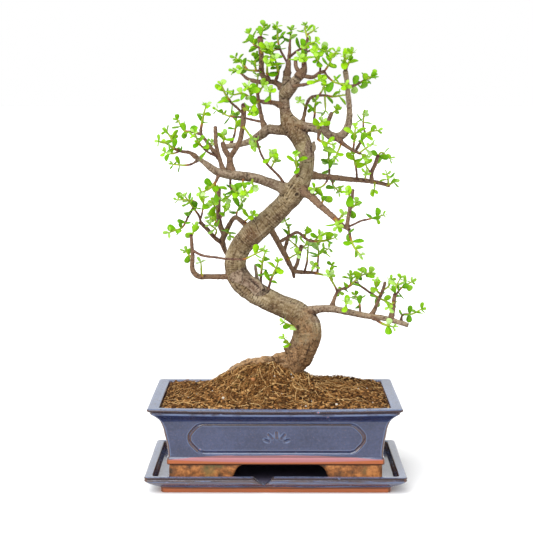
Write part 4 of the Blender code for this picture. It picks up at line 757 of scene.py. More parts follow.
@dataclass(frozen=True)
class Bark:
    """Grey-brown bark with streaks, rings, dark creases and stains, redder and dirtier at the foot, with painted shade
    in its creases and on its undersides and painted light on its ridges and upward faces.
    """

    name: str = "bark"
    dark: Colour = (0.060, 0.034, 0.016)
    middle: Colour = (0.135, 0.092, 0.046)
    light: Colour = (0.230, 0.172, 0.096)
    pale: Colour = (0.370, 0.300, 0.205)
    crease: Colour = (0.016, 0.009, 0.006)
    ground: Colour = (0.105, 0.054, 0.025)
    limb: Colour = (0.058, 0.028, 0.019)

    def make(self) -> Material:
        """Makes the finish.

        Returns:
            The material.
        """
        sheet = NodeSheet(self.name)
        z = sheet.axes()[2]
        flow = sheet.flow()
        bend = sheet.mark("bend")
        facing = sheet.facing()
        broad = sheet.grain(42.0, 5.0, 0.62)
        streak = sheet.grain(330.0, 5.0, 0.66, (0.20, 1.0, 1.0), flow)
        band = sheet.grain(260.0, 4.0, 0.60, (1.0, 0.16, 0.16), flow)
        fine = sheet.grain(330.0, 5.0, 0.68)
        grit = sheet.grain(1100.0, 3.0, 0.6)
        patch = sheet.grain(190.0, 5.0, 0.72)
        rings = (sheet.mark("along") * 2.9 + broad * 9.0 + fine * 1.6).sine()
        tone = broad * 0.42 + streak * 0.30 + fine * 0.16 + band * 0.12 + rings * 0.012
        slim = sheet.mark("girth").above(0.74, 0.44)
        skin = sheet.blend((streak * 0.5 + fine * 0.5).above(0.43, 0.58), self.limb, (0.225, 0.160, 0.120))
        # Painted shade: faces that look down darken.
        underside_shade = (facing + (broad - 0.5) * 2.2).above(0.10, -0.85)
        # Painted light: faces that look up turn paler, also on the trunk's foot.
        top_light = (facing + (fine - 0.5) * 1.5).above(0.15, 0.75)
        low = (z + (broad - 0.5) * 0.09).above(0.170, 0.138)
        stained = (sheet.mark("stain") * 1.25 + sheet.grain(520.0, 4.0, 0.7) - 0.5).above(0.30, 0.85)
        colour = sheet.coats(
            sheet.ramp(tone, (0.40, self.dark), (0.475, self.middle), (0.535, self.light), (0.62, self.pale)),
            (sheet.grain(24.0, 3.0).above(0.50, 0.64) * 0.55, (0.120, 0.060, 0.030)),
            (sheet.grain(30.0, 3.0).above(0.47, 0.38) * 0.45, (0.215, 0.185, 0.100)),
            (band.above(0.40, 0.30) * 0.45, self.dark),
            (grit.above(0.54, 0.68) * 0.50, self.dark),
            (sheet.grain(520.0, 3.0).above(0.60, 0.70) * 0.45, (0.36, 0.27, 0.17)),
            (slim * 0.72, skin),
            (slim * grit.above(0.52, 0.62) * 0.55, (0.300, 0.220, 0.165)),
            (slim * band.above(0.44, 0.36) * 0.60, self.crease),
            (underside_shade * 0.55, (0.070, 0.038, 0.022)),
            (top_light * (1.0 - slim * 0.6) * 0.30, self.pale),
            # Painted shade in creases and a painted highlight on ridges.
            (bend.above(0.48, 0.40) * 0.80, self.crease),
            (bend.above(0.54, 0.62) * 0.30, self.pale),
            (low * fine.above(0.33, 0.48) * 0.90, self.ground),
            (low * grit.above(0.49, 0.60) * 0.7, (0.36, 0.20, 0.085)),
            (low * streak.above(0.44, 0.36) * 0.8, self.crease),
            (low * patch.above(0.47, 0.38) * 0.75, (0.036, 0.018, 0.009)),
            (low * patch.above(0.52, 0.62) * 0.55, (0.320, 0.205, 0.110)),
            (low * top_light * fine.above(0.42, 0.56) * 0.50, (0.42, 0.27, 0.14)),
            (stained * 0.85, self.crease))
        sheet.relief(fine * 0.6 + grit * 0.4 + streak * 0.6 + band * 0.5 + rings * 0.06, 0.0010, 0.9)
        return sheet.finish({"Base Color": colour, "Roughness": 0.82, "Specular IOR Level": 0.14})


@dataclass(frozen=True)
class Twig:
    """Thin wood: reddish-brown with pale flecks, running out to yellow-green shoots."""

    name: str = "twig"
    thin: Colour = (0.088, 0.037, 0.023)
    thick: Colour = (0.138, 0.080, 0.046)
    pale: Colour = (0.360, 0.260, 0.170)
    green: Colour = (0.230, 0.300, 0.022)
    amber: Colour = (0.230, 0.085, 0.020)
    cut: Colour = (0.050, 0.012, 0.010)

    def make(self) -> Material:
        """Makes the finish.

        Returns:
            The material.
        """
        sheet = NodeSheet(self.name)
        fine = sheet.grain(300.0, 4.0, 0.65)
        grit = sheet.grain(1300.0, 3.0)
        rings = (sheet.mark("along") * 4.6).sine()
        young = sheet.mark("youth") + (fine - 0.5) * 0.25
        stout = (sheet.mark("girth") + (fine - 0.5) * 0.8).above(0.25, 0.75)
        colour = sheet.coats(
            sheet.blend(stout, self.thin, self.thick),
            (grit.above(0.56, 0.66) * 0.55, self.pale),
            (fine.above(0.48, 0.34) * 0.8, (0.028, 0.012, 0.010)),
            (young.above(0.30, 0.52), self.amber),
            (young.above(0.48, 0.72), self.green),
            (sheet.mark("stain"), self.cut))
        sheet.relief(grit * 0.4 + fine * 0.5 + rings * 0.08, 0.0004, 0.6)
        return sheet.finish({"Base Color": colour, "Roughness": 0.62, "Specular IOR Level": 0.18})


@dataclass(frozen=True)
class Leaf:
    """Succulent leaves from deep green through lime to a pale bluish green that is partly their colour and partly a
    painted sheen, with a soft shine.
    """

    name: str = "leaf"
    deep: Colour = (0.034, 0.125, 0.001)
    mid: Colour = (0.096, 0.275, 0.001)
    lime: Colour = (0.222, 0.430, 0.004)
    mint_and_sheen: Colour = (0.360, 0.520, 0.190)

    def make(self) -> Material:
        """Makes the finish.

        Returns:
            The material.
        """
        sheet = NodeSheet(self.name)
        across = sheet.mark("across")
        fine = sheet.grain(260.0, 3.0)
        tone = sheet.mark("shade") + (fine - 0.5) * 0.16
        # The palest stop is partly the leaves' own pale green and partly a painted sheen.
        colour = sheet.coats(
            sheet.ramp(tone, (0.05, self.deep), (0.36, self.mid), (0.66, self.lime), (0.97, self.mint_and_sheen)),
            (across.above(0.20, 0.02) * 0.16, (0.28, 0.46, 0.02)),
            (across.above(0.80, 0.98) * 0.28, (0.30, 0.46, 0.01)),
            (sheet.mark("along").above(0.16, 0.02) * 0.5, (0.26, 0.36, 0.03)),
            (sheet.mark("under") * 0.30, (0.15, 0.32, 0.02)))
        sheet.relief(fine * 0.5 + sheet.grain(1400.0, 2.0) * 0.25, 0.0002, 0.4)
        return sheet.finish({"Base Color": colour, "Roughness": 0.36 + fine * 0.20, "Specular IOR Level": 0.07,
                             "Subsurface Weight": 0.10, "Subsurface Radius": (0.3, 0.8, 0.1),
                             "Subsurface Scale": 0.0015})


@dataclass(frozen=True)
class Peat:
    """Coarse brown peat and coco fibre, its crumbs of varied tint, with painted shade between them and in creases and
    painted light on ridges.
    """

    name: str = "peat"
    dark: Colour = (0.014, 0.006, 0.002)
    brown: Colour = (0.145, 0.060, 0.018)
    tan: Colour = (0.370, 0.178, 0.057)
    straw: Colour = (0.520, 0.325, 0.135)

    def make(self) -> Material:
        """Makes the finish.

        Returns:
            The material.
        """
        sheet = NodeSheet(self.name)
        x, _, z = sheet.axes()
        bend = sheet.mark("bend")
        coarse = sheet.grain(170.0, 5.0, 0.7)
        fine = sheet.grain(800.0, 4.0, 0.7)
        gaps, pick = sheet.specks(400.0)
        tone = coarse * 0.34 + fine * 0.30 + pick * 0.36
        moss = sheet.grain(95.0, 4.0).above(0.52, 0.60) * z.above(0.094, 0.104) * x.above(-0.006, -0.024)
        colour = sheet.coats(
            sheet.ramp(tone, (0.36, self.dark), (0.47, self.brown), (0.58, self.tan), (0.70, self.straw)),
            # Painted shade: dark between the crumbs of the pattern, and in concave creases.
            (gaps.above(0.40, 0.70) * 0.70, self.dark),
            (bend.above(0.48, 0.38) * 0.80, self.dark),
            # Painted light: ridges turn tan.
            (bend.above(0.54, 0.64) * 0.35, self.tan),
            (moss * 0.75, (0.045, 0.048, 0.010)))
        sheet.relief(fine * 0.6 + coarse * 0.4, 0.0012, 0.9)
        return sheet.finish({"Base Color": colour, "Roughness": 0.93, "Specular IOR Level": 0.06})


@dataclass(frozen=True)
class Tinted:
    """Loose bits whose mesh carries a tint from dark to pale for each bit."""

    name: str
    stops: tuple[Stop, ...]

    def make(self) -> Material:
        """Makes the finish.

        Returns:
            The material.
        """
        sheet = NodeSheet(self.name)
        fine = sheet.grain(900.0, 3.0)
        tone = sheet.mark("shade") + (fine - 0.5) * 0.22
        sheet.relief(fine, 0.0003, 0.6)
        return sheet.finish({"Base Color": sheet.ramp(tone, *self.stops), "Roughness": 0.85,
                             "Specular IOR Level": 0.08})


@dataclass(frozen=True)
class Plastic:
    """Black moulded plastic with a fine matt grain."""

    name: str = "black_plastic"

    def make(self) -> Material:
        """Makes the finish.

        Returns:
            The material.
        """
        sheet = NodeSheet(self.name)
        grain = sheet.grain(900.0, 3.0)
        sheet.relief(grain, 0.0001, 0.5)
        colour = sheet.blend(grain, (0.012, 0.012, 0.013), (0.030, 0.030, 0.032))
        return sheet.finish({"Base Color": colour, "Roughness": 0.45 + grain * 0.2})


@dataclass(frozen=True)
class PaleFloor:
    """The plain pale floor under the object."""

    name: str = "pale_floor"

    def make(self) -> Material:
        """Makes the finish.

        Returns:
            The material.
        """
        sheet = NodeSheet(self.name)
        colour = sheet.blend(sheet.grain(3.0, 2.0), (0.90, 0.90, 0.90), (0.92, 0.92, 0.92))
        return sheet.finish({"Base Color": colour, "Roughness": 0.8, "Specular IOR Level": 0.1})


def clear_selection() -> None:
    """Leaves every object deselected, in object mode."""
    if bpy.context.mode != "OBJECT":
        bpy.ops.object.mode_set(mode="OBJECT")
    bpy.ops.object.select_all(action="DESELECT")


def take(piece: Piece) -> Piece:
    """Makes a piece the only selected and active one.

    Args:
        piece: The piece.

    Returns:
        The same piece.
    """
    clear_selection()
    piece.select_set(True)
    bpy.context.view_layer.objects.active = piece
    return piece


def modify(piece: Piece, kind: str, **settings: object) -> None:
    """Adds a modifier to a piece and applies it.

    Args:
        piece: The piece.
        kind: The modifier's type.
        settings: Its properties.
    """
    take(piece)
    step = piece.modifiers.new(kind.lower(), kind)
    for key, value in settings.items():
        setattr(step, key, value)
    bpy.ops.object.modifier_apply(modifier=step.name)


def carve(piece: Piece, cutters: Sequence[Piece]) -> None:
    """Cuts pieces out of another and removes them.

    Args:
        piece: What is cut.
        cutters: What is cut away.
    """
    for cutter in cutters:
        modify(piece, "BOOLEAN", operation="DIFFERENCE", object=cutter, solver="EXACT")
    discard(cutters)


def discard(pieces: Sequence[Piece]) -> None:
    """Removes pieces that have served as cutters or models."""
    for piece in pieces:
        bpy.data.objects.remove(piece, do_unlink=True)


def copy_of(model: Piece, place_at: Matrix, shade: float) -> Piece:
    """Copies a model with a mesh of its own.

    Args:
        model: What is copied.
        place_at: Where the copy sits.
        shade: Its tint, from 0 to 1.

    Returns:
        The copy.
    """
    copy = model.copy()
    copy.data = model.data.copy()
    copy.data.transform(place_at)
    bpy.context.scene.collection.objects.link(copy)
    mark(copy, "shade", [shade] * len(copy.data.vertices))
    return copy


def join(pieces: Sequence[Piece], name: str) -> Piece:
    """Joins pieces in the first one, at the origin.

    Args:
        pieces: The pieces, each in its place.
        name: What the whole is called.

    Returns:
        The joined piece.
    """
    clear_selection()
    for piece in pieces:
        piece.select_set(True)
    whole = pieces[0]
    bpy.context.view_layer.objects.active = whole
    if len(pieces) > 1:
        bpy.ops.object.join()
    settle(whole)
    whole.name = name
    whole.data.name = name
    return whole


def settle(piece: Piece) -> None:
    """Moves a piece's place into its mesh."""
    take(piece)
    bpy.ops.object.transform_apply(location=True, rotation=True, scale=True)


def mark(piece: Piece, name: str, values: Sequence[float]) -> None:
    """Stores one value for each point of a piece's mesh, in the order of the points."""
    piece.data.attributes.new(name, "FLOAT", "POINT").data.foreach_set("value", list(values))


def mark_flow(piece: Piece, values: Sequence[Vector]) -> None:
    """Stores the place along and around a stem for each point of a piece's mesh."""
    layer = piece.data.attributes.new("flow", "FLOAT_VECTOR", "POINT")
    layer.data.foreach_set("vector", [number for value in values for number in value])


def mark_nearest(piece: Piece, spots: Sequence[Vector], **values: Sequence[float]) -> None:
    """Stores, for each point of a piece's mesh, the values of the nearest place.

    Args:
        piece: The piece.
        spots: The places.
        values: The value at each place, by the attribute's name.
    """
    tree = KDTree(len(spots))
    for index, spot in enumerate(spots):
        tree.insert(spot, index)
    tree.balance()
    near = [tree.find(point.co)[1] for point in piece.data.vertices]
    for name, known in values.items():
        mark(piece, name, [known[index] for index in near])


def mark_bend(piece: Piece, reach: float) -> None:
    """Stores how the surface bends: over 0.5 on ridges and edges, under 0.5 in creases.

    Args:
        piece: The piece.
        reach: The radius of curvature that counts as a full edge.
    """
    work = bmesh.new()
    work.from_mesh(piece.data)
    work.normal_update()
    values = []
    for point in work.verts:
        total = 0.0
        for edge in point.link_edges:
            run = point.co - edge.other_vert(point).co
            total += point.normal.dot(run) / max(run.length_squared, 1e-9)
        mean = total / max(len(point.link_edges), 1)
        values.append(0.5 + max(-0.5, min(0.5, mean * reach)))
    softened = [(values[point.index] + sum(values[edge.other_vert(point).index]
                                           for edge in point.link_edges) / len(point.link_edges)) / 2
                for point in work.verts]
    work.free()
    mark(piece, "bend", softened)


def polish(piece: Piece, angle: float = 180.0) -> None:
    """Shades a piece smooth.

    Args:
        piece: The piece.
        angle: The angle in degrees over which an edge stays sharp.
    """
    take(piece)
    if angle >= 180:
        bpy.ops.object.shade_smooth()
    else:
        bpy.ops.object.shade_smooth_by_angle(angle=math.radians(angle))


def hand_over(piece: Piece, finishes: Sequence[Material], node: str) -> None:
    """Dresses a finished piece and sets it on the frame.

    Args:
        piece: The piece.
        finishes: Its materials, in the order of its slots.
        node: The solid that it stands for.
    """
    which = [face.material_index for face in piece.data.polygons]
    piece.data.materials.clear()
    for finish in finishes:
        piece.data.materials.append(finish)
    piece.data.polygons.foreach_set("material_index", [min(number, len(finishes) - 1) for number in which])
    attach(piece, BODY)
    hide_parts(node)
    piece.data.calc_loop_triangles()
    LOG.info("%s: %d triangles", piece.name, len(piece.data.loop_triangles))


class Part(Enum):
    """What an edit-mode selection is made of."""

    EDGE = "EDGE"
    FACE = "FACE"


class Bench:
    """One mesh piece on the bench, shaped with edit-mode operators."""

    def __init__(self, piece: Piece) -> None:
        """Takes a piece into edit mode."""
        self.piece = take(piece)
        bpy.ops.object.mode_set(mode="EDIT")

    @classmethod
    def block(cls, name: str, low: Vector, high: Vector) -> Bench:
        """Starts from a box.

        Args:
            name: The piece's name.
            low: Its lowest corner.
            high: Its highest corner.

        Returns:
            The bench, with nothing selected.
        """
        clear_selection()
        bpy.ops.mesh.primitive_cube_add(size=1.0, location=(low + high) / 2)
        piece = bpy.context.active_object
        piece.name = name
        piece.scale = high - low
        settle(piece)
        bench = cls(piece)
        bench.pick(Part.FACE, lambda _: False)
        return bench

    @classmethod
    def vessel(cls, name: str, levels: Sequence[Level], corner: float, segments: int) -> Bench:
        """Draws an oblong dish or pot up from its underside, with rounded corners.

        Args:
            name: The piece's name.
            levels: Each level's height, half width and half depth, up the outside and down the inside.
            corner: The corners' radius.
            segments: How many faces go round a corner.

        Returns:
            The bench, with the last level's face selected.
        """
        (z, half_x, half_y), (next_z, next_x, next_y) = levels[:2]
        bench = cls.block(name, Vector((-half_x, -half_y, z)), Vector((half_x, half_y, next_z)))
        bench.pick(Part.EDGE, lambda edge: abs(edge.verts[0].co.z - edge.verts[1].co.z) > LEVEL)
        bpy.ops.mesh.bevel(offset=corner, segments=segments, affect="EDGES")
        bench.pick(Part.FACE, lambda face: face.normal.z > 0.9)
        bpy.ops.transform.resize(value=(next_x / half_x, next_y / half_y, 1), center_override=(0, 0, next_z))
        bench.draw_up(levels[1:])
        return bench

    def pick(self, part: Part, test: Callable[[object], bool]) -> None:
        """Selects what a test accepts, and nothing else.

        Args:
            part: Edges or faces.
            test: The test, on the bmesh element.
        """
        bpy.ops.mesh.select_mode(type=part.value)
        bpy.ops.mesh.select_all(action="DESELECT")
        work = bmesh.from_edit_mesh(self.piece.data)
        for item in work.edges if part is Part.EDGE else work.faces:
            if test(item):
                item.select_set(True)
        work.select_flush_mode()
        bmesh.update_edit_mesh(self.piece.data)

    def draw_up(self, levels: Sequence[Level]) -> None:
        """Draws the selected top face through levels, starting from the first.

        Args:
            levels: Each level's height, half width and half depth.
        """
        for (z, half_x, half_y), (next_z, next_x, next_y) in zip(levels, levels[1:]):
            bpy.ops.mesh.extrude_region_move(TRANSFORM_OT_translate={"value": (0, 0, next_z - z)})
            bpy.ops.transform.resize(value=(next_x / half_x, next_y / half_y, 1),
                                     center_override=(0, 0, next_z))

    def done(self) -> Piece:
        """Leaves edit mode and returns the piece."""
        bpy.ops.object.mode_set(mode="OBJECT")
        return self.piece


def sample_profile(points: Sequence[Place], step: float) -> list[Place]:
    """Puts a place on a profile at least every so often.

    Args:
        points: The profile's corners.
        step: The longest gap.

    Returns:
        The profile with more places.
    """
    out = [points[0]]
    for start, end in zip(points, points[1:]):
        count = max(1, math.ceil(math.dist(start, end) / step))
        for index in range(1, count + 1):
            share = index / count
            out.append((start[0] + (end[0] - start[0]) * share, start[1] + (end[1] - start[1]) * share))
    return out


def soft_curve(points: Sequence[Vector], values: Sequence[float], step: float) -> Run:
    """Runs a smooth curve through places.

    Args:
        points: The places.
        values: A value at each, such as a radius.
        step: How far apart the new places lie.

    Returns:
        New places with their values.
    """
    out = []
    last = len(points) - 1
    for index in range(last):
        a = points[index - 1] if index > 0 else points[0] * 2 - points[1]
        b = points[index]
        c = points[index + 1]
        d = points[index + 2] if index + 2 <= last else c * 2 - b
        knots = [0.0]
        for start, end in ((a, b), (b, c), (c, d)):
            knots.append(knots[-1] + max(math.sqrt((end - start).length), 1e-6))
        count = max(1, math.ceil((c - b).length / step))
        for inner in range(count):
            share = inner / count
            t = knots[1] + (knots[2] - knots[1]) * share
            out.append((hermite(a, b, c, d, knots, t), values[index] + (values[index + 1] - values[index]) * share))
    out.append((points[-1].copy(), values[-1]))
    return out


def hermite(a: Vector, b: Vector, c: Vector, d: Vector, knots: Sequence[float], t: float) -> Vector:
    """Finds a place on the curve through four places.

    Args:
        a: The place before.
        b: Where the stretch starts.
        c: Where it ends.
        d: The place after.
        knots: The knot value of each place.
        t: The knot value that is looked for.

    Returns:
        The place.
    """
    ab = a.lerp(b, (t - knots[0]) / (knots[1] - knots[0]))
    bc = b.lerp(c, (t - knots[1]) / (knots[2] - knots[1]))
    cd = c.lerp(d, (t - knots[2]) / (knots[3] - knots[2]))
    left = ab.lerp(bc, (t - knots[0]) / (knots[2] - knots[0]))
    right = bc.lerp(cd, (t - knots[1]) / (knots[3] - knots[1]))
    return left.lerp(right, (t - knots[1]) / (knots[2] - knots[1]))


def ways_along(spots: Sequence[Vector]) -> list[float]:
    """Returns how far along their line each of some places lies."""
    return list(accumulate(((end - start).length for start, end in zip(spots, spots[1:])), initial=0.0))


def beside(direction: Vector) -> Vector:
    """Returns a direction at right angles to another one."""
    upright = Vector((0, 0, 1)) if abs(direction.z) < 0.9 else Vector((1, 0, 0))
    return direction.cross(upright).normalized()


def tubes(name: str, runs: Sequence[Run], sides: int) -> Piece:
    """Makes closed tubes, in one mesh, from a curve object with one spline for each run.

    Args:
        name: The piece's name.
        runs: Each run's places with their radii.
        sides: How many sides a tube has.

    Returns:
        The mesh piece.
    """
    clear_selection()
    bpy.ops.curve.primitive_nurbs_path_add(location=(0, 0, 0))
    piece = bpy.context.active_object
    piece.name = name
    curve = piece.data
    curve.splines.clear()
    curve.dimensions = "3D"
    curve.bevel_depth = 1.0
    curve.bevel_resolution = max(0, (sides - 4) // 2)
    curve.use_fill_caps = True
    for run in runs:
        spline = curve.splines.new("POLY")
        spline.points.add(len(run) - 1)
        for point, (spot, radius) in zip(spline.points, run):
            point.co = (*spot, 1.0)
            point.radius = radius
    take(piece)
    bpy.ops.object.convert(target="MESH")
    piece = bpy.context.active_object
    Bench(piece)
    bpy.ops.mesh.select_all(action="SELECT")
    bpy.ops.mesh.remove_doubles(threshold=0.000002)
    bpy.ops.mesh.normals_make_consistent(inside=False)
    bpy.ops.object.mode_set(mode="OBJECT")
    return piece


class Guide:
    """Finds the nearest place on a set of routes, with its way along and its radius."""

    def __init__(self, runs: Sequence[Run]) -> None:
        """Indexes the routes.

        Args:
            runs: Each route's places with their radii.
        """
        self.facts: list[tuple[Vector, Vector, float, float, int, float]] = []
        for number, run in enumerate(runs):
            lengths = ways_along([spot for spot, _ in run])
            for index, (spot, radius) in enumerate(run):
                after = run[min(index + 1, len(run) - 1)][0]
                before = run[max(index - 1, 0)][0]
                way = (after - before).normalized()
                self.facts.append((spot, way, lengths[index], radius, number, lengths[-1] - lengths[index]))
        self.tree = KDTree(len(self.facts))
        for index, fact in enumerate(self.facts):
            self.tree.insert(fact[0], index)
        self.tree.balance()

    def near(self, spot: Vector) -> tuple[Vector, Vector, float, float, int, float]:
        """Returns the place, direction, length so far, radius, route number and length left."""
        best = min(self.tree.find_n(spot, 4), key=lambda item: item[2] - self.facts[item[1]][3])
        return self.facts[best[1]]


def swell(piece: Piece, rule: Callable[[Vector, Vector], float]) -> None:
    """Moves each point of a piece along its normal.

    Args:
        piece: The piece.
        rule: How far, from the point's place and normal.
    """
    moves = [point.co + point.normal * rule(point.co, point.normal) for point in piece.data.vertices]
    for point, spot in zip(piece.data.vertices, moves):
        point.co = spot
    piece.data.update()


def fade(value: float, low: float, high: float) -> float:
    """Rises smoothly from 0 at low to 1 at high, or falls where low is the larger."""
    share = max(0.0, min(1.0, (value - low) / (high - low)))
    return share * share * (3 - 2 * share)


def rough(spot: Vector, scale: float, seed: float = 0.0) -> float:
    """Returns noise from -1 to 1 at a place, with so many features a metre."""
    return noise.noise(Vector((spot.x * scale + seed, spot.y * scale, spot.z * scale - seed)))


def mark_corner(piece: Piece) -> None:
    """Stores 1 where a surface faces out of an upright corner, and 0 on the flat sides.

    Args:
        piece: The piece.
    """
    values = []
    for point in piece.data.vertices:
        small, large = sorted((abs(point.normal.x), abs(point.normal.y)))
        values.append(fade(small / max(large, 1e-6), 0.18, 0.60) * fade(abs(point.normal.z), 0.85, 0.55))
    mark(piece, "corner", values)


@dataclass
class DripTray:
    """The flared dish with a broad lip, an inner gutter and a pouring notch."""

    half_x: float = 0.1285
    side: float = 0.0355
    corner: float = 0.0042
    notch_x: float = -0.0120
    notch_half: float = 0.0100
    notch_low: float = 0.0090
    rounding: float = 0.0007
    step: float = 0.0020
    cuts: int = 24
    profile: tuple[Place, ...] = (
        (0.0000, 0.1118), (0.0007, 0.1125), (0.0052, 0.1125), (0.0057, 0.1138), (0.0064, 0.1158),
        (0.0082, 0.1206), (0.0108, 0.1252), (0.0126, 0.1273), (0.0138, 0.1281), (0.0147, 0.1277),
        (0.0152, 0.1274), (0.0159, 0.1280), (0.0166, 0.1281), (0.0171, 0.1275), (0.0173, 0.1262),
        (0.0173, 0.1216), (0.0171, 0.1206), (0.0164, 0.1200), (0.0138, 0.1196), (0.0102, 0.1187),
        (0.0085, 0.1178), (0.0080, 0.1162),
    )

    def build(self) -> Piece:
        """Models the tray.

        Returns:
            The piece.
        """
        levels = [(z, half, half - self.side) for z, half in sample_profile(self.profile, self.step)]
        bench = Bench.vessel("drip_tray_glazed", levels, self.corner, 6)
        bench.pick(Part.EDGE, lambda edge: edge.calc_length() > LONG_EDGE and not edge.is_boundary)
        bpy.ops.mesh.subdivide(number_cuts=self.cuts)
        tray = bench.done()
        carve(tray, [self.notch()])
        modify(tray, "BEVEL", width=self.rounding, segments=3, limit_method="ANGLE", angle_limit=math.radians(40))
        for point in tray.data.vertices:
            point.co.y *= 1 + 0.045 * fade(point.co.z, 0.0074, 0.0053)
        swell(tray, lambda spot, _: 0.00025 * rough(spot, 22.0, 3.0) * fade(spot.z, 0.002, 0.006))
        mark_bend(tray, 0.0011)
        mark_corner(tray)
        polish(tray, 50)
        return tray

    def notch(self) -> Piece:
        """Models the wedge that cuts the notch.

        Returns:
            The cutter.
        """
        front = self.half_x - self.side
        low = Vector((self.notch_x - self.notch_half * 2, -front - 0.004, self.notch_low))
        high = Vector((self.notch_x + self.notch_half * 2, -front + 0.0125, self.notch_low + 0.0164))
        bench = Bench.block("notch", low, high)
        bench.pick(Part.FACE, lambda face: face.normal.z < -0.9)
        bpy.ops.transform.resize(value=(0.04, 1, 1), center_override=(self.notch_x, 0, 0))
        return bench.done()


@dataclass
class GlazedPot:
    """The flared pot with a beaded rim, a pressed cartouche and four feet."""

    side: float = 0.0346
    corner: float = 0.0028
    base: float = 0.0256
    rim_sag: float = 0.0014
    panel_half: float = 0.0858
    panel_straight: float = 0.0730
    panel_shift: float = 0.0012
    panel_low: float = 0.0380
    panel_high: float = 0.0670
    groove_depth: float = 0.0012
    groove_width: float = 0.0008
    stroke_depth: float = 0.00085
    stroke_width: float = 0.0014
    foot_low: float = 0.0083
    foot_half_x: float = 0.1054
    foot_half_y: float = 0.0708
    foot_wall: float = 0.0130
    foot_corner: float = 0.0055
    foot_rounding: float = 0.0011
    foot_cell: float = 0.0016
    arch_shift: float = 0.0050
    arch_corner: float = 0.0058
    step: float = 0.0008
    cuts: int = 15
    panel_cuts: int = 23
    profile: tuple[Place, ...] = (
        (0.0256, 0.1052), (0.0259, 0.1064), (0.0268, 0.1070), (0.0312, 0.1070), (0.0324, 0.1066),
        (0.0334, 0.1058), (0.0370, 0.1058), (0.0420, 0.1062), (0.0500, 0.1074), (0.0560, 0.1088),
        (0.0620, 0.1098), (0.0665, 0.1112), (0.0695, 0.1125), (0.0720, 0.1141), (0.0742, 0.1160),
        (0.0758, 0.1178), (0.0770, 0.1194), (0.0780, 0.1208), (0.0788, 0.1216), (0.0796, 0.1219),
        (0.0802, 0.1217), (0.0806, 0.1219), (0.0811, 0.1231), (0.0818, 0.1242), (0.0827, 0.1248),
        (0.0836, 0.1246), (0.0843, 0.1238), (0.0846, 0.1226), (0.0846, 0.1150), (0.0843, 0.1136),
        (0.0834, 0.1130), (0.0760, 0.1090), (0.0600, 0.1015), (0.0345, 0.0960),
    )
    strokes: tuple[tuple[float, float, float, float], ...] = (
        (-0.0088, 0.0502, 155.0, 0.0040), (-0.0050, 0.0543, 122.0, 0.0044), (0.0012, 0.0556, 90.0, 0.0048),
        (0.0074, 0.0543, 58.0, 0.0044), (0.0112, 0.0502, 25.0, 0.0040),
    )

    def build(self) -> Piece:
        """Models the pot's body and rim.

        Returns:
            The piece.
        """
        levels = [(z, half, half - self.side) for z, half in sample_profile(self.profile, self.step)]
        bench = Bench.vessel("pot_glazed", levels, self.corner, 7)
        bench.pick(Part.EDGE, lambda edge: edge.calc_length() > LONG_EDGE)
        bpy.ops.mesh.subdivide(number_cuts=self.cuts)
        bench.pick(Part.EDGE, self.on_panel)
        bpy.ops.mesh.subdivide(number_cuts=self.panel_cuts)
        pot = bench.done()
        self.press(pot)
        mark_bend(pot, 0.0013)
        mark_corner(pot)
        polish(pot, 60)
        return pot

    def on_panel(self, edge: bmesh.types.BMEdge) -> bool:
        """Tells whether an edge runs across the front wall, where the pattern is pressed in.

        Args:
            edge: The edge.

        Returns:
            Whether it does.
        """
        start, end = edge.verts[0].co, edge.verts[1].co
        front = start.y < -0.06 and end.y < -0.06
        outside = 0.0360 < start.z < 0.0700 and start.y < -(0.1058 - self.side) + 0.0008
        return front and outside and abs(start.z - end.z) < LEVEL and abs(start.x - end.x) > 0.004

    def groove_gap(self, x: float, z: float) -> float:
        """Measures how far a place on the front is from the cartouche's outline.

        Args:
            x: The place along the front.
            z: The height.

        Returns:
            The distance.
        """
        middle = (self.panel_low + self.panel_high) / 2
        half = (self.panel_high - self.panel_low) / 2
        across = abs(x - self.panel_shift)
        height = abs(z - middle)
        corners = [(0.0, half), (self.panel_straight, half), (self.panel_straight + 0.0040, half * 0.90),
                   (self.panel_half - 0.0030, half * 0.50), (self.panel_half - 0.0004, half * 0.24),
                   (self.panel_half, 0.0)]
        gaps = []
        for (x0, z0), (x1, z1) in zip(corners, corners[1:]):
            run = Vector((x1 - x0, z1 - z0))
            share = max(0.0, min(1.0, (Vector((across - x0, height - z0))).dot(run) / run.length_squared))
            gaps.append(math.hypot(across - x0 - run.x * share, height - z0 - run.y * share))
        return min(gaps)

    def press(self, pot: Piece) -> None:
        """Presses the cartouche and its leaf strokes in, and lets the rim sag a little.

        Args:
            pot: The pot.
        """
        for point in pot.data.vertices:
            spot = point.co
            if spot.y < -0.066 and 0.0355 < spot.z < 0.0705:
                gap = self.groove_gap(spot.x, spot.z)
                depth = self.groove_depth * math.exp(-((gap / self.groove_width) ** 2))
                depth -= 0.00010 * math.exp(-(((gap - 0.0022) / 0.0009) ** 2))
                for x, z, turn, length in self.strokes:
                    run = Vector((spot.x - x, spot.z - z))
                    way = Vector((math.cos(math.radians(turn)), math.sin(math.radians(turn))))
                    along = run.dot(way) / length
                    width = self.stroke_width * max(0.05, 1 - along * along)
                    off = (run.x * way.y - run.y * way.x) / width
                    depth += self.stroke_depth * fade(abs(along), 1.05, 0.7) * math.exp(-off * off)
                point.co.y += depth
            if spot.z > 0.070:
                lift = fade(spot.z, 0.070, 0.076)
                span = 1 - min(1.0, abs(spot.x) / 0.125) ** 2
                if spot.y < -0.06:
                    point.co.z -= self.rim_sag * span * lift
                point.co.z -= 0.0003 * (1 + rough(spot, 18.0, 7.0)) * lift
            point.co.x += 0.00025 * rough(spot, 16.0, 1.0) - 0.0008 * fade(spot.z, 0.035, 0.084)
            point.co.y += 0.00025 * rough(spot, 16.0, 5.0)

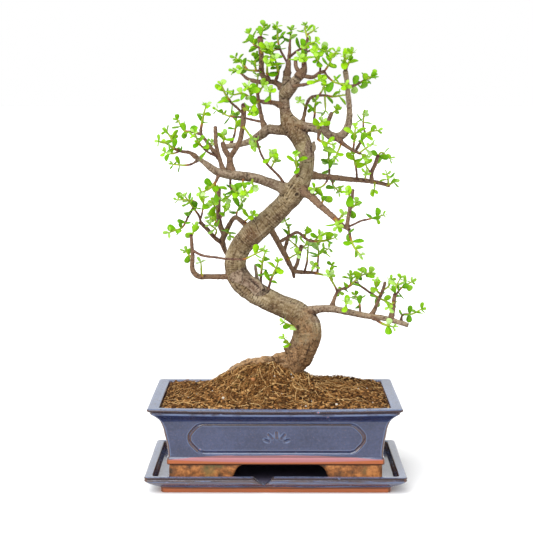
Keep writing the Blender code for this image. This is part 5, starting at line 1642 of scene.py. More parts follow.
    def feet(self) -> Piece:
        """Models the four feet with the arches between them.

        Returns:
            The piece.
        """
        low = Vector((-self.foot_half_x, -self.foot_half_y, self.foot_low))
        high = Vector((self.foot_half_x, self.foot_half_y, self.base + 0.0014))
        bench = Bench.block("pot_feet", low, high)
        bench.pick(Part.EDGE, lambda edge: abs(edge.verts[0].co.z - edge.verts[1].co.z) > 0.01)
        bpy.ops.mesh.bevel(offset=self.foot_corner, segments=5, affect="EDGES")
        feet = bench.done()
        inner_x = self.foot_half_x - self.foot_wall
        inner_y = self.foot_half_y - self.foot_wall
        hollow = Bench.block("hollow", Vector((-inner_x, -inner_y, self.foot_low - 0.01)),
                             Vector((inner_x, inner_y, self.base - 0.0002)))
        front = self.arch("arch_front", 0.0412, 0.0094, 0.0)
        front.location.x = self.arch_shift
        settle(front)
        carve(feet, [hollow.done(), front, self.arch("arch_side", 0.0245, 0.0093, math.pi / 2)])
        modify(feet, "BEVEL", width=self.foot_rounding, segments=3, limit_method="ANGLE", angle_limit=math.radians(35))
        modify(feet, "REMESH", mode="VOXEL", voxel_size=self.foot_cell)
        modify(feet, "SMOOTH", factor=0.5, iterations=2)
        swell(feet, lambda spot, _: 0.00035 * rough(spot, 170.0) + 0.00055 * rough(spot, 55.0, 2.0) - 0.0002)
        mark_bend(feet, 0.0009)
        polish(feet)
        return feet

    def arch(self, name: str, half: float, slant: float, turn: float) -> Piece:
        """Returns the solid that opens a rounded, flared gap between two feet.

        Args:
            name: The cutter's name.
            half: Half the gap's width at its top.
            slant: How much wider each side is at the bottom.
            turn: The angle about Z, in radians.

        Returns:
            The cutter.
        """
        bench = Bench.block(name, Vector((-half, -0.2, self.foot_low - 0.003)),
                            Vector((half, 0.2, self.base - 0.0003)))
        bench.pick(Part.FACE, lambda face: face.normal.z < -0.9)
        wide = (half + slant) / half
        bpy.ops.transform.resize(value=(wide, 1, 1), center_override=(0, 0, 0))
        bench.pick(Part.EDGE, lambda edge: all(point.co.z > self.base - 0.001 for point in edge.verts)
                   and abs(edge.verts[0].co.y - edge.verts[1].co.y) > 0.1)
        bpy.ops.mesh.bevel(offset=self.arch_corner, segments=5, affect="EDGES")
        cutter = bench.done()
        cutter.rotation_euler = (0, 0, turn)
        settle(cutter)
        return cutter


def place(x: float, z: float, depth: float) -> Vector:
    """Returns the point, in metres, where the sight line through (x, z) in millimetres reaches a depth."""
    share = (EYE_DISTANCE + depth) / EYE_DISTANCE
    return Vector((x * share, depth, EYE_HEIGHT + (z - EYE_HEIGHT) * share)) * MM


def spread(values: Sequence[float], share: float) -> float:
    """Reads evenly spread values between their places.

    Args:
        values: The values, two or more.
        share: How far along they are read, from 0 to 1.

    Returns:
        The value there.
    """
    at = min(max(share, 0.0), 1.0) * (len(values) - 1)
    low = min(int(at), len(values) - 2)
    return values[low] + (values[low + 1] - values[low]) * (at - low)


def nearest_on(flat_routes: Sequence[Laid], x: float, z: float) -> tuple[float, float, float]:
    """Finds the nearest place on a list of routes, measured across the tree.

    Args:
        flat_routes: The routes.
        x: Millimetres to the right.
        z: Millimetres up.

    Returns:
        The place as x, z and depth.
    """
    best = (math.inf, 0.0, 0.0, 0.0)
    target = Vector((x, z))
    for route in flat_routes:
        for start, end in zip(route, route[1:]):
            a = Vector(start[:2])
            along = Vector(end[:2]) - a
            share = 0.0
            if along.length > 0:
                share = min(max((target - a).dot(along) / along.length_squared, 0.0), 1.0)
            spot = a + along * share
            gap = (spot - target).length
            if gap < best[0]:
                best = (gap, spot.x, spot.y, start[2] + (end[2] - start[2]) * share)
    return best[1:]


def lay_out(route: Route, earlier: Sequence[Laid]) -> tuple[Laid, list[float]]:
    """Lays a route out from the nearest earlier place.

    Args:
        route: The route's reach, radii, leaf pairs and places.
        earlier: The routes that it may grow from.

    Returns:
        Its places with their depths, in millimetres, and its radii in metres.
    """
    reach, radii, _, numbers = route
    places = list(zip(numbers[::2], numbers[1::2]))
    if not isinstance(radii, tuple):
        radii = (radii, SPRIG_TIP)
    root_x, root_z, root_depth = nearest_on(earlier, *places[0])
    flat = [(root_x, root_z)] + places[1:]
    lengths = list(accumulate((math.dist(start, end) for start, end in zip(flat, flat[1:])), initial=0.0))
    shares = [length / lengths[-1] for length in lengths]
    laid = [(x, z, root_depth + DEPTH_SPREAD * reach * share) for (x, z), share in zip(flat, shares)]
    return laid, [spread(radii, share) * MM for share in shares]


def surface_of(piece: Piece) -> BVHTree:
    """Returns the search tree of a piece's surface."""
    return BVHTree.FromPolygons([point.co for point in piece.data.vertices],
                                [tuple(face.vertices) for face in piece.data.polygons])


@dataclass
class Wood:
    """The trunk with its surface roots, thick limbs and pruned stubs, grown as one piece."""

    step: float = 0.0020
    cell: float = 0.00085
    sides: int = 14
    crack_spacing: float = 17.0
    ring_pitch: float = 2.3
    knots: tuple[tuple[float, float, float], ...] = (
        (-47, 254, 1.8), (22, 151, 2.2), (21, 288, 1.5), (34, 352, 2.0),
    )
    shoulders: tuple[Route, ...] = (
        (-4, (7.0, 6.0, 5.2, 4.2), 0, [15, 121, 8, 122, 3, 121, -2, 119]),
        (-4, (2.6, 2.2, 1.9), 0, [14, 127, 10.5, 129.5, 8.4, 131]),
        (-3, (7.0, 6.4, 6.2, 6.2, 5.6, 4.0), 0, [6, 115, -3, 116.5, -16, 115.5, -29, 113.5, -39, 109, -49, 98]),
        (-9, (2.0, 2.8, 3.1, 2.8, 1.6), 0, [-50, 203.5, -38, 204.5, -27, 203, -18, 198, -13, 191]),
    )
    flat: list[Laid] = field(default_factory=list)
    runs: list[Run] = field(default_factory=list)

    def lay(self) -> None:
        """Works out the routes of the trunk and its limbs."""
        self.flat = [[(x, z, depth) for x, z, depth, _ in TRUNK]]
        self.runs = [soft_curve([place(*spot) for spot in self.flat[0]],
                                [radius * MM for _, _, _, radius in TRUNK], self.step)]
        for route in LIMBS:
            laid, radii = lay_out(route, self.flat)
            self.flat.append(laid)
            run = soft_curve([place(*spot) for spot in laid], radii, self.step)
            self.runs.append(self.flare(run) if len(self.runs) > 1 else run)
        # The second surface root lies under the mounded soil
        self.runs.pop(2)
        for route in self.shoulders:
            laid, radii = lay_out(route, self.flat)
            self.runs.append(soft_curve([place(*spot) for spot in laid], radii, self.step))

    def flare(self, run: Run) -> Run:
        """Widens the first stretch of a limb where it leaves the trunk."""
        return [(spot, radius * (1 + 0.35 * math.exp(-((spot - run[0][0]).length / 0.011) ** 2)))
                for spot, radius in run]

    def build(self) -> Piece:
        """Models the wood.

        Returns:
            The piece.
        """
        wood = tubes("trunk_bark", self.runs, self.sides)
        modify(wood, "REMESH", mode="VOXEL", voxel_size=self.cell)
        modify(wood, "SMOOTH", factor=0.5, iterations=5)
        guide = Guide(self.runs)
        holes = self.find_knots(wood)
        alongs, stains, girths, flows, moves = [], [], [], [], []
        for point in wood.data.vertices:
            spot = point.co
            axis, way, length, radius, number, left = guide.near(spot)
            offset = spot - axis
            length += offset.dot(way)
            front = (Vector((0, 1, 0)) - way * way.y).normalized()
            flows.append(Vector((length + number * 0.37, offset.dot(front), offset.dot(way.cross(front)))))
            along = length / MM + rough(spot, 60.0, 3.0) * 3.0
            girth = min(1.0, radius / 0.011)
            push, stain = self.surface(spot, along, girth, number)
            for hole, size in holes:
                gap = (spot - hole).length / size * (1 + 0.9 * rough(spot, 200.0, 6.0))
                if gap < 3:
                    collar = 0.15 * size * math.exp(-((gap - 1.4) / 0.5) ** 2)
                    push += collar - 0.30 * size * math.exp(-(gap / 0.8) ** 2)
                    stain = max(stain, 0.55 * fade(gap, 2.0, 0.1))
            if left < 0.0012 and number > 2:
                stain = max(stain, 0.5 * fade(left, 0.0014, 0.0002))
            alongs.append(along)
            stains.append(stain)
            girths.append(girth)
            moves.append(spot + point.normal * push)
        for point, spot in zip(wood.data.vertices, moves):
            point.co = spot
        wood.data.update()
        mark(wood, "along", alongs)
        mark(wood, "stain", stains)
        mark(wood, "girth", girths)
        mark_flow(wood, flows)
        mark_bend(wood, 0.0012)
        polish(wood)
        return wood

    def find_knots(self, wood: Piece) -> list[tuple[Vector, float]]:
        """Finds the knots' places on the side that faces the eye.

        Args:
            wood: The wood.

        Returns:
            The places with their sizes.
        """
        eye = Vector((0, -EYE_DISTANCE, EYE_HEIGHT)) * MM
        found = []
        for x, z, size in self.knots:
            way = (Vector((x, 0, z)) * MM - eye).normalized()
            hit, spot, _, _ = wood.ray_cast(eye, way)
            if hit:
                found.append((spot.copy(), size * MM))
        return found

    def surface(self, spot: Vector, along: float, girth: float, number: int) -> tuple[float, float]:
        """Returns how far a place stands out, and how stained it is.

        Args:
            spot: The place.
            along: Millimetres along the route.
            girth: The share of a full trunk's thickness.
            number: The route's number, 0 for the trunk.

        Returns:
            The rise in metres and the stain from 0 to 1.
        """
        rise = 0.00105 * girth * rough(spot, 42.0) + 0.00060 * girth * rough(spot, 150.0, 2.0)
        rise += 0.00030 * rough(spot, 400.0, 5.0)
        ring = math.sin(along * 2 * math.pi / self.ring_pitch + 3.0 * rough(spot, 110.0, 8.0))
        rise += 0.00009 * girth * ring * fade(rough(spot, 60.0, 11.0), -0.3, 0.4)
        stain = 0.0
        if number <= 4 or girth > 0.4:
            phase = (along + 2.2 * rough(spot, 130.0, 31.0)) / self.crack_spacing
            cell = math.floor(phase)
            draw = random.Random(cell * 7 + number)
            middle = cell + draw.uniform(0.2, 0.8)
            reach = abs(phase - middle) * self.crack_spacing
            there = fade(rough(spot, 70.0, 17.0 + cell), -0.10, 0.22)
            crack = math.exp(-(reach / 0.48) ** 2) * there * draw.uniform(0.3, 1.0)
            rise -= 0.00060 * girth * crack
            stain = 0.60 * crack
        low = fade(spot.z, 0.152, 0.122)
        if low > 0:
            rise += low * (0.0026 * abs(rough(spot, 90.0, 13.0)) + 0.0011 * rough(spot, 260.0, 19.0)
                           + 0.0004 * rough(spot, 560.0, 21.0) - 0.0004)
        return rise, stain


@dataclass
class Foliage:
    """The thin branches, each with its leaf pairs and buds."""

    wood: Wood
    leaves_kept: float = 0.14
    pair_spacing: float = 8.5
    straight: float = 16.0
    crowded_above: float = 0.400
    thickness: float = 1.5
    leaf_length: Place = (9.2, 12.6)
    leaf_width: Place = (0.66, 0.80)
    young_size: float = 0.78
    bud_length: Place = (0.0046, 0.0072)
    step: float = 0.0014
    sides: int = 8
    full_girth: float = 0.0035
    seat_slack: float = 0.00012
    clear_of_bark: float = 0.0022
    clear_of_leaves: float = 0.0044
    clear_of_box: float = 0.0006
    models: list[Piece] = field(default_factory=list)
    tree: BVHTree | None = None
    middles: list[Vector] = field(default_factory=list)

    def prepare(self, bark: Piece) -> None:
        """Models the leaves that are copied, and indexes the bark for clearance.

        Args:
            bark: The finished trunk.
        """
        for number, (cup, curl) in enumerate(((0.10, 0.04), (0.24, -0.05), (-0.06, 0.12))):
            self.models.append(self.leaf(f"leaf_{number}", cup, curl))
        self.tree = surface_of(bark)

    def leaf(self, name: str, cup: float, curl: float) -> Piece:
        """Models one leaf, a metre long from its root at the origin, as a closed cushion.

        Args:
            name: What it is called.
            cup: How far its sides turn up.
            curl: How far its tip turns up.

        Returns:
            The leaf.
        """
        clear_selection()
        bpy.ops.mesh.primitive_uv_sphere_add(segments=8, ring_count=8, radius=1.0, rotation=(0, math.pi / 2, 0))
        leaf = bpy.context.active_object
        settle(leaf)
        leaf.name = name
        along, across, under = [], [], []
        for point in leaf.data.vertices:
            x, y, z = point.co
            share = (x + 1) / 2
            ring = max(math.hypot(y, z), 1e-6)
            wide = share ** 0.62 * (1 - share ** 3.0) ** 0.52 / 0.63 if share < 1 else 0.0
            turn_y, turn_z = y / ring, z / ring
            if ring < 1e-5:
                turn_y = turn_z = 0.0
            thick = 0.068 * (0.40 + 0.60 * math.sin(math.pi * min(1.0, share * 1.05)))
            if share > 0.93:
                thick *= 0.6
            side = 0.5 * wide * turn_y
            lift = cup * (2 * side) ** 2 * 0.5 + curl * share * share
            point.co = (share, side, thick * turn_z * min(1.0, wide + 0.3) + lift)
            along.append(share)
            across.append(abs(turn_y) if share > 0.02 else 0.5)
            under.append(1.0 if turn_z < -0.3 else 0.0)
        mark(leaf, "along", along)
        mark(leaf, "across", across)
        mark(leaf, "under", under)
        polish(leaf)
        return leaf

    def build(self) -> Iterator[tuple[str, Piece]]:
        """Models each branch.

        Yields:
            The name of the solid that it stands for, and the piece.
        """
        for name, routes in BRANCHES.items():
            yield name, self.branch(name, routes)
        discard(self.models)

    def branch(self, name: str, routes: Sequence[Route]) -> Piece:
        """Models one branch with its leaves.

        Args:
            name: The solid's name.
            routes: Its routes.

        Returns:
            The piece.
        """
        solid_tree = surface_of(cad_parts[name])
        wood_tree = surface_of(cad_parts["trunk_and_limbs"])
        flat: list[Laid] = []
        runs = []
        leaves = []
        for index, route in enumerate(routes):
            laid, radii = lay_out(route, flat or self.wood.flat)
            flat.append(laid)
            spots = [place(*spot) for spot in laid]
            run = self.stem(f"{name} {index}", spots, radii, route[2], index == 0)
            runs.append(run)
            if index == 0:
                spots, radii = self.seat_on(wood_tree, spots, radii)
            spots, radii = self.straighten(spots, radii)
            leaves += self.grow(f"{name} {index}", spots, run, route[2], solid_tree)
        twigs = tubes(f"{name}_twigs", [[(spot, radius) for spot, radius, *_ in run] for run in runs], self.sides)
        self.mark_twigs(twigs, runs)
        polish(twigs)
        first = len(twigs.data.polygons)
        grown = [copy_of(self.models[which], place_at, shade) for which, place_at, shade in leaves]
        whole = join([twigs] + grown, f"{name}_grown")
        for _ in range(2):
            whole.data.materials.append(None)
        for face in whole.data.polygons:
            face.material_index = 0 if face.index < first else 1
        for point in whole.data.vertices:
            point.co = [min(max(part, low + 0.0001), high - 0.0001) for part, low, high in zip(point.co, *CAD_BOX)]
        return whole

    def stem(self, seed: str, spots: Sequence[Vector], radii: Sequence[float], pairs: int,
             rooted: bool) -> list[Ring]:
        """Works out a stem's smooth run with its collar, node swellings and taper.

        Args:
            seed: What seeds its unevenness.
            spots: Its places.
            radii: Its radii.
            pairs: How many leaf pairs it carries.
            rooted: Whether it grows from the trunk or a limb.

        Returns:
            Place, radius, youth and stain for each ring.
        """
        draw = random.Random(seed)
        run = soft_curve(spots, radii, self.step)
        ways = ways_along([spot for spot, _ in run])
        out = []
        phase = draw.uniform(0, 6)
        for (spot, radius), way in zip(run, ways):
            left = ways[-1] - way
            size = radius
            if pairs:
                size = min(size, 0.00062 + 0.030 * left + 0.00002 * (left / MM))
                beat = ((left / MM - 0.8) / self.pair_spacing) % 1.0
                beat = min(beat, 1 - beat) * self.pair_spacing
                size *= 1 + 0.20 * math.exp(-(beat / 1.0) ** 2)
            else:
                beat = (way / MM + phase) % 5.7
                size *= 1 + 0.09 * math.exp(-((beat - 2.8) / 0.8) ** 2)
            size *= 1 + 0.10 * noise.noise(spot * 300.0)
            if rooted:
                size *= 1 + 0.45 * math.exp(-((way - radius * 1.5) / (radius * 1.8 + 0.002)) ** 2)
            youth = fade(left, 0.036, 0.006) if pairs else 0.0
            youth *= fade(radius, 0.0022, 0.0013)
            stain = 0.0 if pairs else fade(left, 0.0016, 0.0003)
            sway = [noise.noise(spot * 90.0 + Vector(shift)) for shift in ((0, 0, 0), (9, 0, 0), (0, 9, 0))]
            out.append((spot + Vector(sway) * 0.0005, size, youth, stain))
        end, size, youth, stain = out[-1]
        lead = (end - out[-2][0]).normalized()
        out[-1] = (end - lead * size * 0.35, size, youth, stain)
        out.append((end, size * 0.72, youth, stain))
        return out

    def mark_twigs(self, twigs: Piece, runs: Sequence[Sequence[Ring]]) -> None:
        """Stores each point's girth, youth, stain and way along on the twigs.

        Args:
            twigs: The twigs.
            runs: The runs that they were made from.
        """
        spots, radii, youths, stains = zip(*(ring for run in runs for ring in run))
        mark_nearest(twigs, spots, girth=[min(1.0, radius / self.full_girth) for radius in radii], youth=youths,
                     stain=stains, along=[way / MM for run in runs for way in ways_along([ring[0] for ring in run])])

    def seat_on(self, wood_tree: BVHTree, spots: Sequence[Vector],
                radii: Sequence[float]) -> tuple[list[Vector], list[float]]:
        """Cuts a route back to start just off the surface of the solid wood.

        Args:
            wood_tree: The solid wood.
            spots: The route's places.
            radii: Its radii.

        Returns:
            The shorter route and its radii.
        """
        start, outward = spots[0], spots[1]
        hit, normal, _, _ = wood_tree.ray_cast(outward, start - outward)
        if hit is None:
            hit, normal, _, _ = wood_tree.find_nearest(outward)
        lead = normal.normalized()
        foot = hit + lead * SEAT_GAP
        knee = foot + lead * (radii[0] * 1.4 + 0.0006)
        keep = [(spot, radius) for spot, radius in zip(spots[1:], radii[1:])
                if (spot - knee).length > 1.6 * radii[0] + 0.001]
        return ([foot, knee] + [spot for spot, _ in keep],
                [radii[0], radii[0] * 0.97] + [radius for _, radius in keep])

    def straighten(self, spots: Sequence[Vector], radii: Sequence[float]) -> tuple[list[Vector], list[float]]:
        """Leaves out the places where a route hardly bends.

        Args:
            spots: The route's places.
            radii: Its radii.

        Returns:
            The places and radii that are kept.
        """
        kept = [0]
        for index in range(1, len(spots) - 1):
            before = spots[index] - spots[kept[-1]]
            after = spots[index + 1] - spots[index]
            if math.degrees(before.angle(after)) > self.straight:
                kept.append(index)
        kept.append(len(spots) - 1)
        return [spots[index] for index in kept], [radii[index] for index in kept]

    def stations(self, spots: Sequence[Vector], pairs: int) -> Iterator[tuple[Vector, Vector, int]]:
        """Walks the leaf pairs from a shoot's tip backwards.

        Args:
            spots: The shoot's places.
            pairs: How many pairs there are.

        Yields:
            Each pair's place, the shoot's direction there and the pair's number.
        """
        lengths = ways_along(spots)
        for number in range(pairs):
            at = lengths[-1] - 0.0008 - number * self.pair_spacing * MM
            if at < 0.0015:
                return
            for index in range(len(spots) - 1):
                if lengths[index] <= at <= lengths[index + 1]:
                    share = (at - lengths[index]) / (lengths[index + 1] - lengths[index])
                    run = spots[index + 1] - spots[index]
                    yield spots[index] + run * share, run.normalized(), number
                    break

    def leaf_frame(self, root: Vector, direction: Vector, side: Vector, draw: random.Random,
                   attempt: int) -> Matrix:
        """Returns where a leaf sits: its blade's way out, its face and its root.

        Args:
            root: Where it leaves the shoot.
            direction: The shoot's direction.
            side: The side of the shoot that it grows on.
            draw: The seeded draws.
            attempt: How often it has been turned.

        Returns:
            The matrix that sets a leaf there.
        """
        lift = math.radians(draw.uniform(22, 48) + 9 * attempt)
        out = side * math.cos(lift) + direction * math.sin(lift)
        out = (out + Vector((0, 0, 0.18))).normalized()
        face = direction - out * direction.dot(out)
        face = (face + Vector((0, -0.25, 0.35))).normalized()
        across = face.cross(out).normalized()
        face = out.cross(across)
        roll = Matrix.Rotation(math.radians(draw.uniform(-28, 28)), 4, out)
        turned = roll @ Matrix((out, across, face)).transposed().to_4x4()
        return Matrix.Translation(root - out * 0.0002) @ turned

    def grow(self, seed: str, spots: Sequence[Vector], run: Sequence[Ring], pairs: int,
             solid_tree: BVHTree) -> list[tuple[int, Matrix, float]]:
        """Places the leaves of one shoot, those of the solid first among the choices.

        Args:
            seed: What seeds the draws.
            spots: The shoot's places in the solid.
            run: Its smooth run.
            pairs: How many leaf pairs it carries.
            solid_tree: The solid branch.

        Returns:
            The leaf model's number, its matrix and its shade, for each leaf.
        """
        found = []
        turn = random.Random(seed).uniform(0, math.pi)
        extra = random.Random(seed + " shade")
        places = list(self.stations(spots, pairs))
        crowded = [(low.lerp(high, 0.5), way, number + 0.5) for (low, way, number), (high, _, _)
                   in zip(places, places[1:]) if low.z > self.crowded_above]
        for root, direction, number in places + crowded:
            level = beside(direction)
            stem = min((spot for spot, *_ in run), key=lambda spot: (spot - root).length)
            for half in (0, 1):
                draw = random.Random(f"{seed} {number} {half}")
                kept = draw.random() <= self.leaves_kept or number == 0
                young = number % 1 or not number
                length = draw.uniform(*self.leaf_length) * (self.young_size if young else 1.0) * MM
                width = length * (draw.uniform(*self.leaf_width) - 0.10)
                choices = []
                for attempt in range(4):
                    angle = turn + number * math.pi / 2 + half * math.pi + attempt * 0.5
                    side = Matrix.Rotation(angle, 3, direction) @ level
                    sits = self.leaf_frame(root, direction, side, draw, attempt)
                    choices.append((sits, self.spread_out(sits, stem, direction, extra), 1.0 - 0.08 * attempt))
                chosen = None
                if kept:
                    for sits, opened, size in choices:
                        pole = sits @ Vector((0.54 * length * size, 0, self.thickness / 2 * MM))
                        near = solid_tree.find_nearest(pole)
                        if near[0] is not None and near[3] < self.seat_slack:
                            chosen = (opened, size)
                            break
                if chosen is None:
                    chosen = self.first_free(choices, length)
                if chosen is None:
                    continue
                sits, size = chosen
                span = length * size * (0.76 if number == 0 else extra.uniform(0.76, 1.10))
                self.middles.append(sits @ Vector((0.55 * span, 0, 0)))
                scale = Matrix.Diagonal((span, width * size, span, 1.0))
                found.append((extra.randrange(len(self.models)), sits @ scale, self.shade_of(number, sits, extra)))
        return found + self.bud(run, pairs, turn, extra)

    def seat(self, root: Vector, out: Vector, wish: Vector) -> Matrix:
        """Seats a leaf.

        Args:
            root: Where it leaves the shoot.
            out: Its way out.
            wish: The way that its face would turn.

        Returns:
            The matrix that sets a leaf there.
        """
        out = out.normalized()
        face = (wish - out * out.dot(wish)).normalized()
        return Matrix.Translation(root) @ Matrix((out, face.cross(out), face)).transposed().to_4x4()

    def spread_out(self, sits: Matrix, stem: Vector, direction: Vector, draw: random.Random) -> Matrix:
        """Opens a leaf away from its shoot and turns its face up, or nearly so.

        Args:
            sits: Where the leaf of the solid sits.
            stem: Where it leaves the smooth shoot.
            direction: The shoot's direction.
            draw: The seeded draws.

        Returns:
            Where the finished leaf sits.
        """
        lift = math.radians(draw.uniform(-4, 34))
        out = sits.col[0].to_3d().normalized()
        flat = out - direction * out.dot(direction)
        if flat.length > 0.1:
            out = flat.normalized() * math.cos(lift) + direction * math.sin(lift)
        turned = self.seat(stem, out, direction * 0.45 + Vector((0, -0.10, 0.80)))
        return turned @ Matrix.Rotation(math.radians(draw.gauss(0, 22)), 4, "X")

    def first_free(self, choices: Sequence[tuple[Matrix, Matrix, float]],
                   length: float) -> tuple[Matrix, float] | None:
        """Finds the first choice that is clear of the bark, of other leaves and of the box's sides.

        Args:
            choices: For each, where the solid's leaf sits, where the finished one sits, and its size.
            length: A full leaf's length.

        Returns:
            Where the leaf sits and its size, or None where no choice is clear.
        """
        for _, sits, size in choices:
            span = length * size
            ends = [sits @ Vector((span * share, 0, 0)) for share in (0.55, 1.0)]
            spots = ends + [sits @ Vector((span * 0.6, span * 0.4 * hand, 0)) for hand in (-1, 1)]
            if not (any(not inside(spot, self.clear_of_box) for spot in spots)
                    or any(self.tree.find_nearest(spot, self.clear_of_bark)[0] is not None for spot in spots)
                    or any((ends[0] - other).length < self.clear_of_leaves for other in self.middles)):
                return sits, size
        return None

    def shade_of(self, number: float, sits: Matrix, draw: random.Random) -> float:
        """Tints a leaf, lighter and yellower near tips, with painted light where it faces up and a pale tint, partly a
        painted sheen, on some.

        Args:
            number: The leaf pair's number, 0 at the tip.
            sits: Where the leaf sits.
            draw: The seeded draws.

        Returns:
            The shade, from 0 to 1.
        """
        tip = 0.30 if number == 0 else 0.16 if number <= 1 else 0.0
        # Painted light: a leaf that faces up is lighter.
        face = 0.06 * sits.col[2].z
        # Some leaves go pale, partly their own colour and partly a painted sheen.
        mint_and_sheen = 0.38 if draw.random() < 0.12 else 0.0
        return max(0.0, min(1.0, 0.36 + tip + face + mint_and_sheen + draw.gauss(0, 0.11)))

    def bud(self, run: Sequence[Ring], pairs: int, turn: float,
            draw: random.Random) -> list[tuple[int, Matrix, float]]:
        """Places the two small leaves that unfold at a shoot's tip.

        Args:
            run: The shoot's smooth run.
            pairs: How many leaf pairs it carries.
            turn: The angle of the first pair.
            draw: The seeded draws.

        Returns:
            The leaf model's number, its matrix and its shade, for each leaf.
        """
        if not pairs:
            return []
        tip = run[-1][0]
        direction = (tip - run[-4][0]).normalized()
        level = beside(direction)
        found = []
        span = draw.uniform(*self.bud_length)
        for half in (0, 1):
            side = Matrix.Rotation(turn - math.pi / 2 + half * math.pi, 3, direction) @ level
            lift = math.radians(draw.uniform(28, 58))
            out = side * math.cos(lift) + direction * math.sin(lift)
            sits = self.seat(tip - direction * 0.0004, out, direction)
            scale = Matrix.Diagonal((span, span * 0.60, span, 1.0))
            found.append((draw.randrange(len(self.models)), sits @ scale, draw.uniform(0.66, 0.84)))
        return found


def inside(spot: Vector, margin: float) -> bool:
    """Tells whether a place lies inside the solids' box by at least a margin."""
    return all(low + margin <= value <= high - margin for low, value, high in zip(CAD_BOX[0], spot, CAD_BOX[1]))


@dataclass
class SoilBed:
    """The mounded peat, with loose crumbs, coco fibres, roots, stones and grit."""

    half_x: float = 0.1127
    half_y: float = 0.0778
    corner: float = 0.0065
    floor: float = 0.0365
    edge: float = 0.0830
    dome: float = 0.0038
    mound: float = 0.0315
    bed: Place = (0.112, 0.077)
    middle: Place = (-0.013, 0.000)
    reach: Place = (0.049, 0.038)
    lumps: float = 0.0016
    cell: float = 0.00112
    crumbs: int = 1500
    stones: tuple[tuple[float, float, float, float], ...] = (
        (-0.0225, -0.0330, 0.0028, 0.80), (0.060, -0.066, 0.0015, 0.95), (-0.052, -0.050, 0.0016, 0.93),
        (0.030, -0.069, 0.0013, 0.97),
    )
    fibres: int = 1050
    strands: int = 400
    fibre_sides: int = 4
    fibre_step: float = 0.0026

    def height(self, x: float, y: float) -> float:
        """Works out the height of the mounded surface with its crumbs.

        Args:
            x: The place along the pot.
            y: The place from front to back.

        Returns:
            The height.
        """
        edge = max(abs(x) / self.bed[0], abs(y) / self.bed[1])
        dome = self.dome * (1 - min(edge, 1.0) ** 4)
        away = math.hypot((x - self.middle[0]) / self.reach[0], (y - self.middle[1]) / self.reach[1])
        mound = self.mound * math.exp(-away ** 2.6)
        bank = 0.0062 * math.exp(-((x - 0.058) / 0.042) ** 2) * fade(y, -0.050, 0.030) * fade(edge, 1.0, 0.93)
        lumps = self.lumps * noise.noise(Vector((x * 90, y * 90, 4.3))) * (1 - min(edge, 1.0) ** 6)
        spot = Vector((x, y, 0.3))
        crumb = 0.0020 * (0.5 - noise.voronoi(spot * 380.0)[0][0])
        fine = rough(spot, 620.0) * 0.00045
        lump = rough(spot, 190.0, 3.0) * 0.0012 + abs(rough(spot, 75.0, 9.0)) * 0.0016
        rim = fade(max(abs(x) / self.half_x, abs(y) / self.half_y), 1.0, 0.985)
        return self.edge + dome + mound + bank + lumps + (lump + fine + crumb) * (0.35 + 0.65 * rim) - 0.0006

    def build(self) -> Piece:
        """Models the soil as a closed block with a crumbled top.

        Returns:
            The piece.
        """
        clear_selection()
        columns = round(2 * self.half_x / self.cell)
        rows = round(2 * self.half_y / self.cell)
        bpy.ops.mesh.primitive_grid_add(x_subdivisions=columns, y_subdivisions=rows, size=2.0)
        soil = bpy.context.active_object
        soil.name = "soil_surface"
        soil.scale = (self.half_x, self.half_y, 1)
        settle(soil)
        for point in soil.data.vertices:
            x, y = point.co.x, point.co.y
            past = abs(x) + abs(y) - (self.half_x + self.half_y - self.corner)
            if past > 0:
                x -= math.copysign(past / 2, x)
                y -= math.copysign(past / 2, y)
            point.co = (x, y, self.height(x, y))
        bench = Bench(soil)
        bench.pick(Part.FACE, lambda _: True)
        bpy.ops.mesh.extrude_region_move(TRANSFORM_OT_translate={"value": (0, 0, -0.2)})
        bench.pick(Part.FACE, lambda face: all(point.co.z < 0 for point in face.verts))
        bpy.ops.mesh.delete(type="FACE")
        bench.pick(Part.EDGE, lambda edge: edge.is_boundary)
        bpy.ops.mesh.edge_face_add()
        bpy.ops.transform.resize(value=(0.848, 0.780, 0), center_override=(0, 0, self.floor))
        bpy.ops.mesh.select_all(action="SELECT")
        bpy.ops.mesh.normals_make_consistent(inside=False)
        bench.done()
        mark_bend(soil, 0.0011)
        polish(soil, 70)
        return soil

    def sprinkle(self, draw: random.Random, heap: float = 0.45) -> Place:
        """Draws a place on the soil, more often on the mound.

        Args:
            draw: The seeded draws.
            heap: The share that falls on the mound.

        Returns:
            The place.
        """
        while True:
            if draw.random() < heap:
                x = draw.gauss(self.middle[0] + 0.006, 0.036)
                y = draw.gauss(self.middle[1] - 0.010, 0.026)
            else:
                x = draw.uniform(-self.half_x, self.half_x)
                y = draw.uniform(-self.half_y, self.half_y)
            if abs(x) < self.half_x - 0.003 and abs(y) < self.half_y - 0.003 and \
                    abs(x) + abs(y) < self.half_x + self.half_y - 0.011:
                return x, y

    def loose(self) -> Piece:
        """Models the loose crumbs, small stones and grit.

        Returns:
            The piece.
        """
        draw = random.Random(11)
        models = []
        for number in range(4):
            clear_selection()
            bpy.ops.mesh.primitive_ico_sphere_add(subdivisions=1 if number else 2, radius=1.0)
            model = bpy.context.active_object
            for point in model.data.vertices:
                point.co *= 1 + 0.35 * noise.noise(point.co * 1.3 + Vector((number * 5.0, 0, 0)))
            polish(model, 50)
            models.append(model)
        pieces = []
        for number in range(self.crumbs):
            x, y = self.sprinkle(draw)
            size = draw.choice((0.0005, 0.0007, 0.0009, 0.0013, 0.0018)) * draw.uniform(0.7, 1.2)
            shade = draw.uniform(0.0, 0.70)
            if draw.random() < 0.035:
                size = draw.uniform(0.0005, 0.0009)
                shade = draw.uniform(0.90, 1.0)
            pieces.append(self.crumb(models[number % 4], draw, x, y, size, shade))
        pieces += [self.crumb(models[0], draw, *stone) for stone in self.stones]
        discard(models)
        return join(pieces, "soil_crumbs")

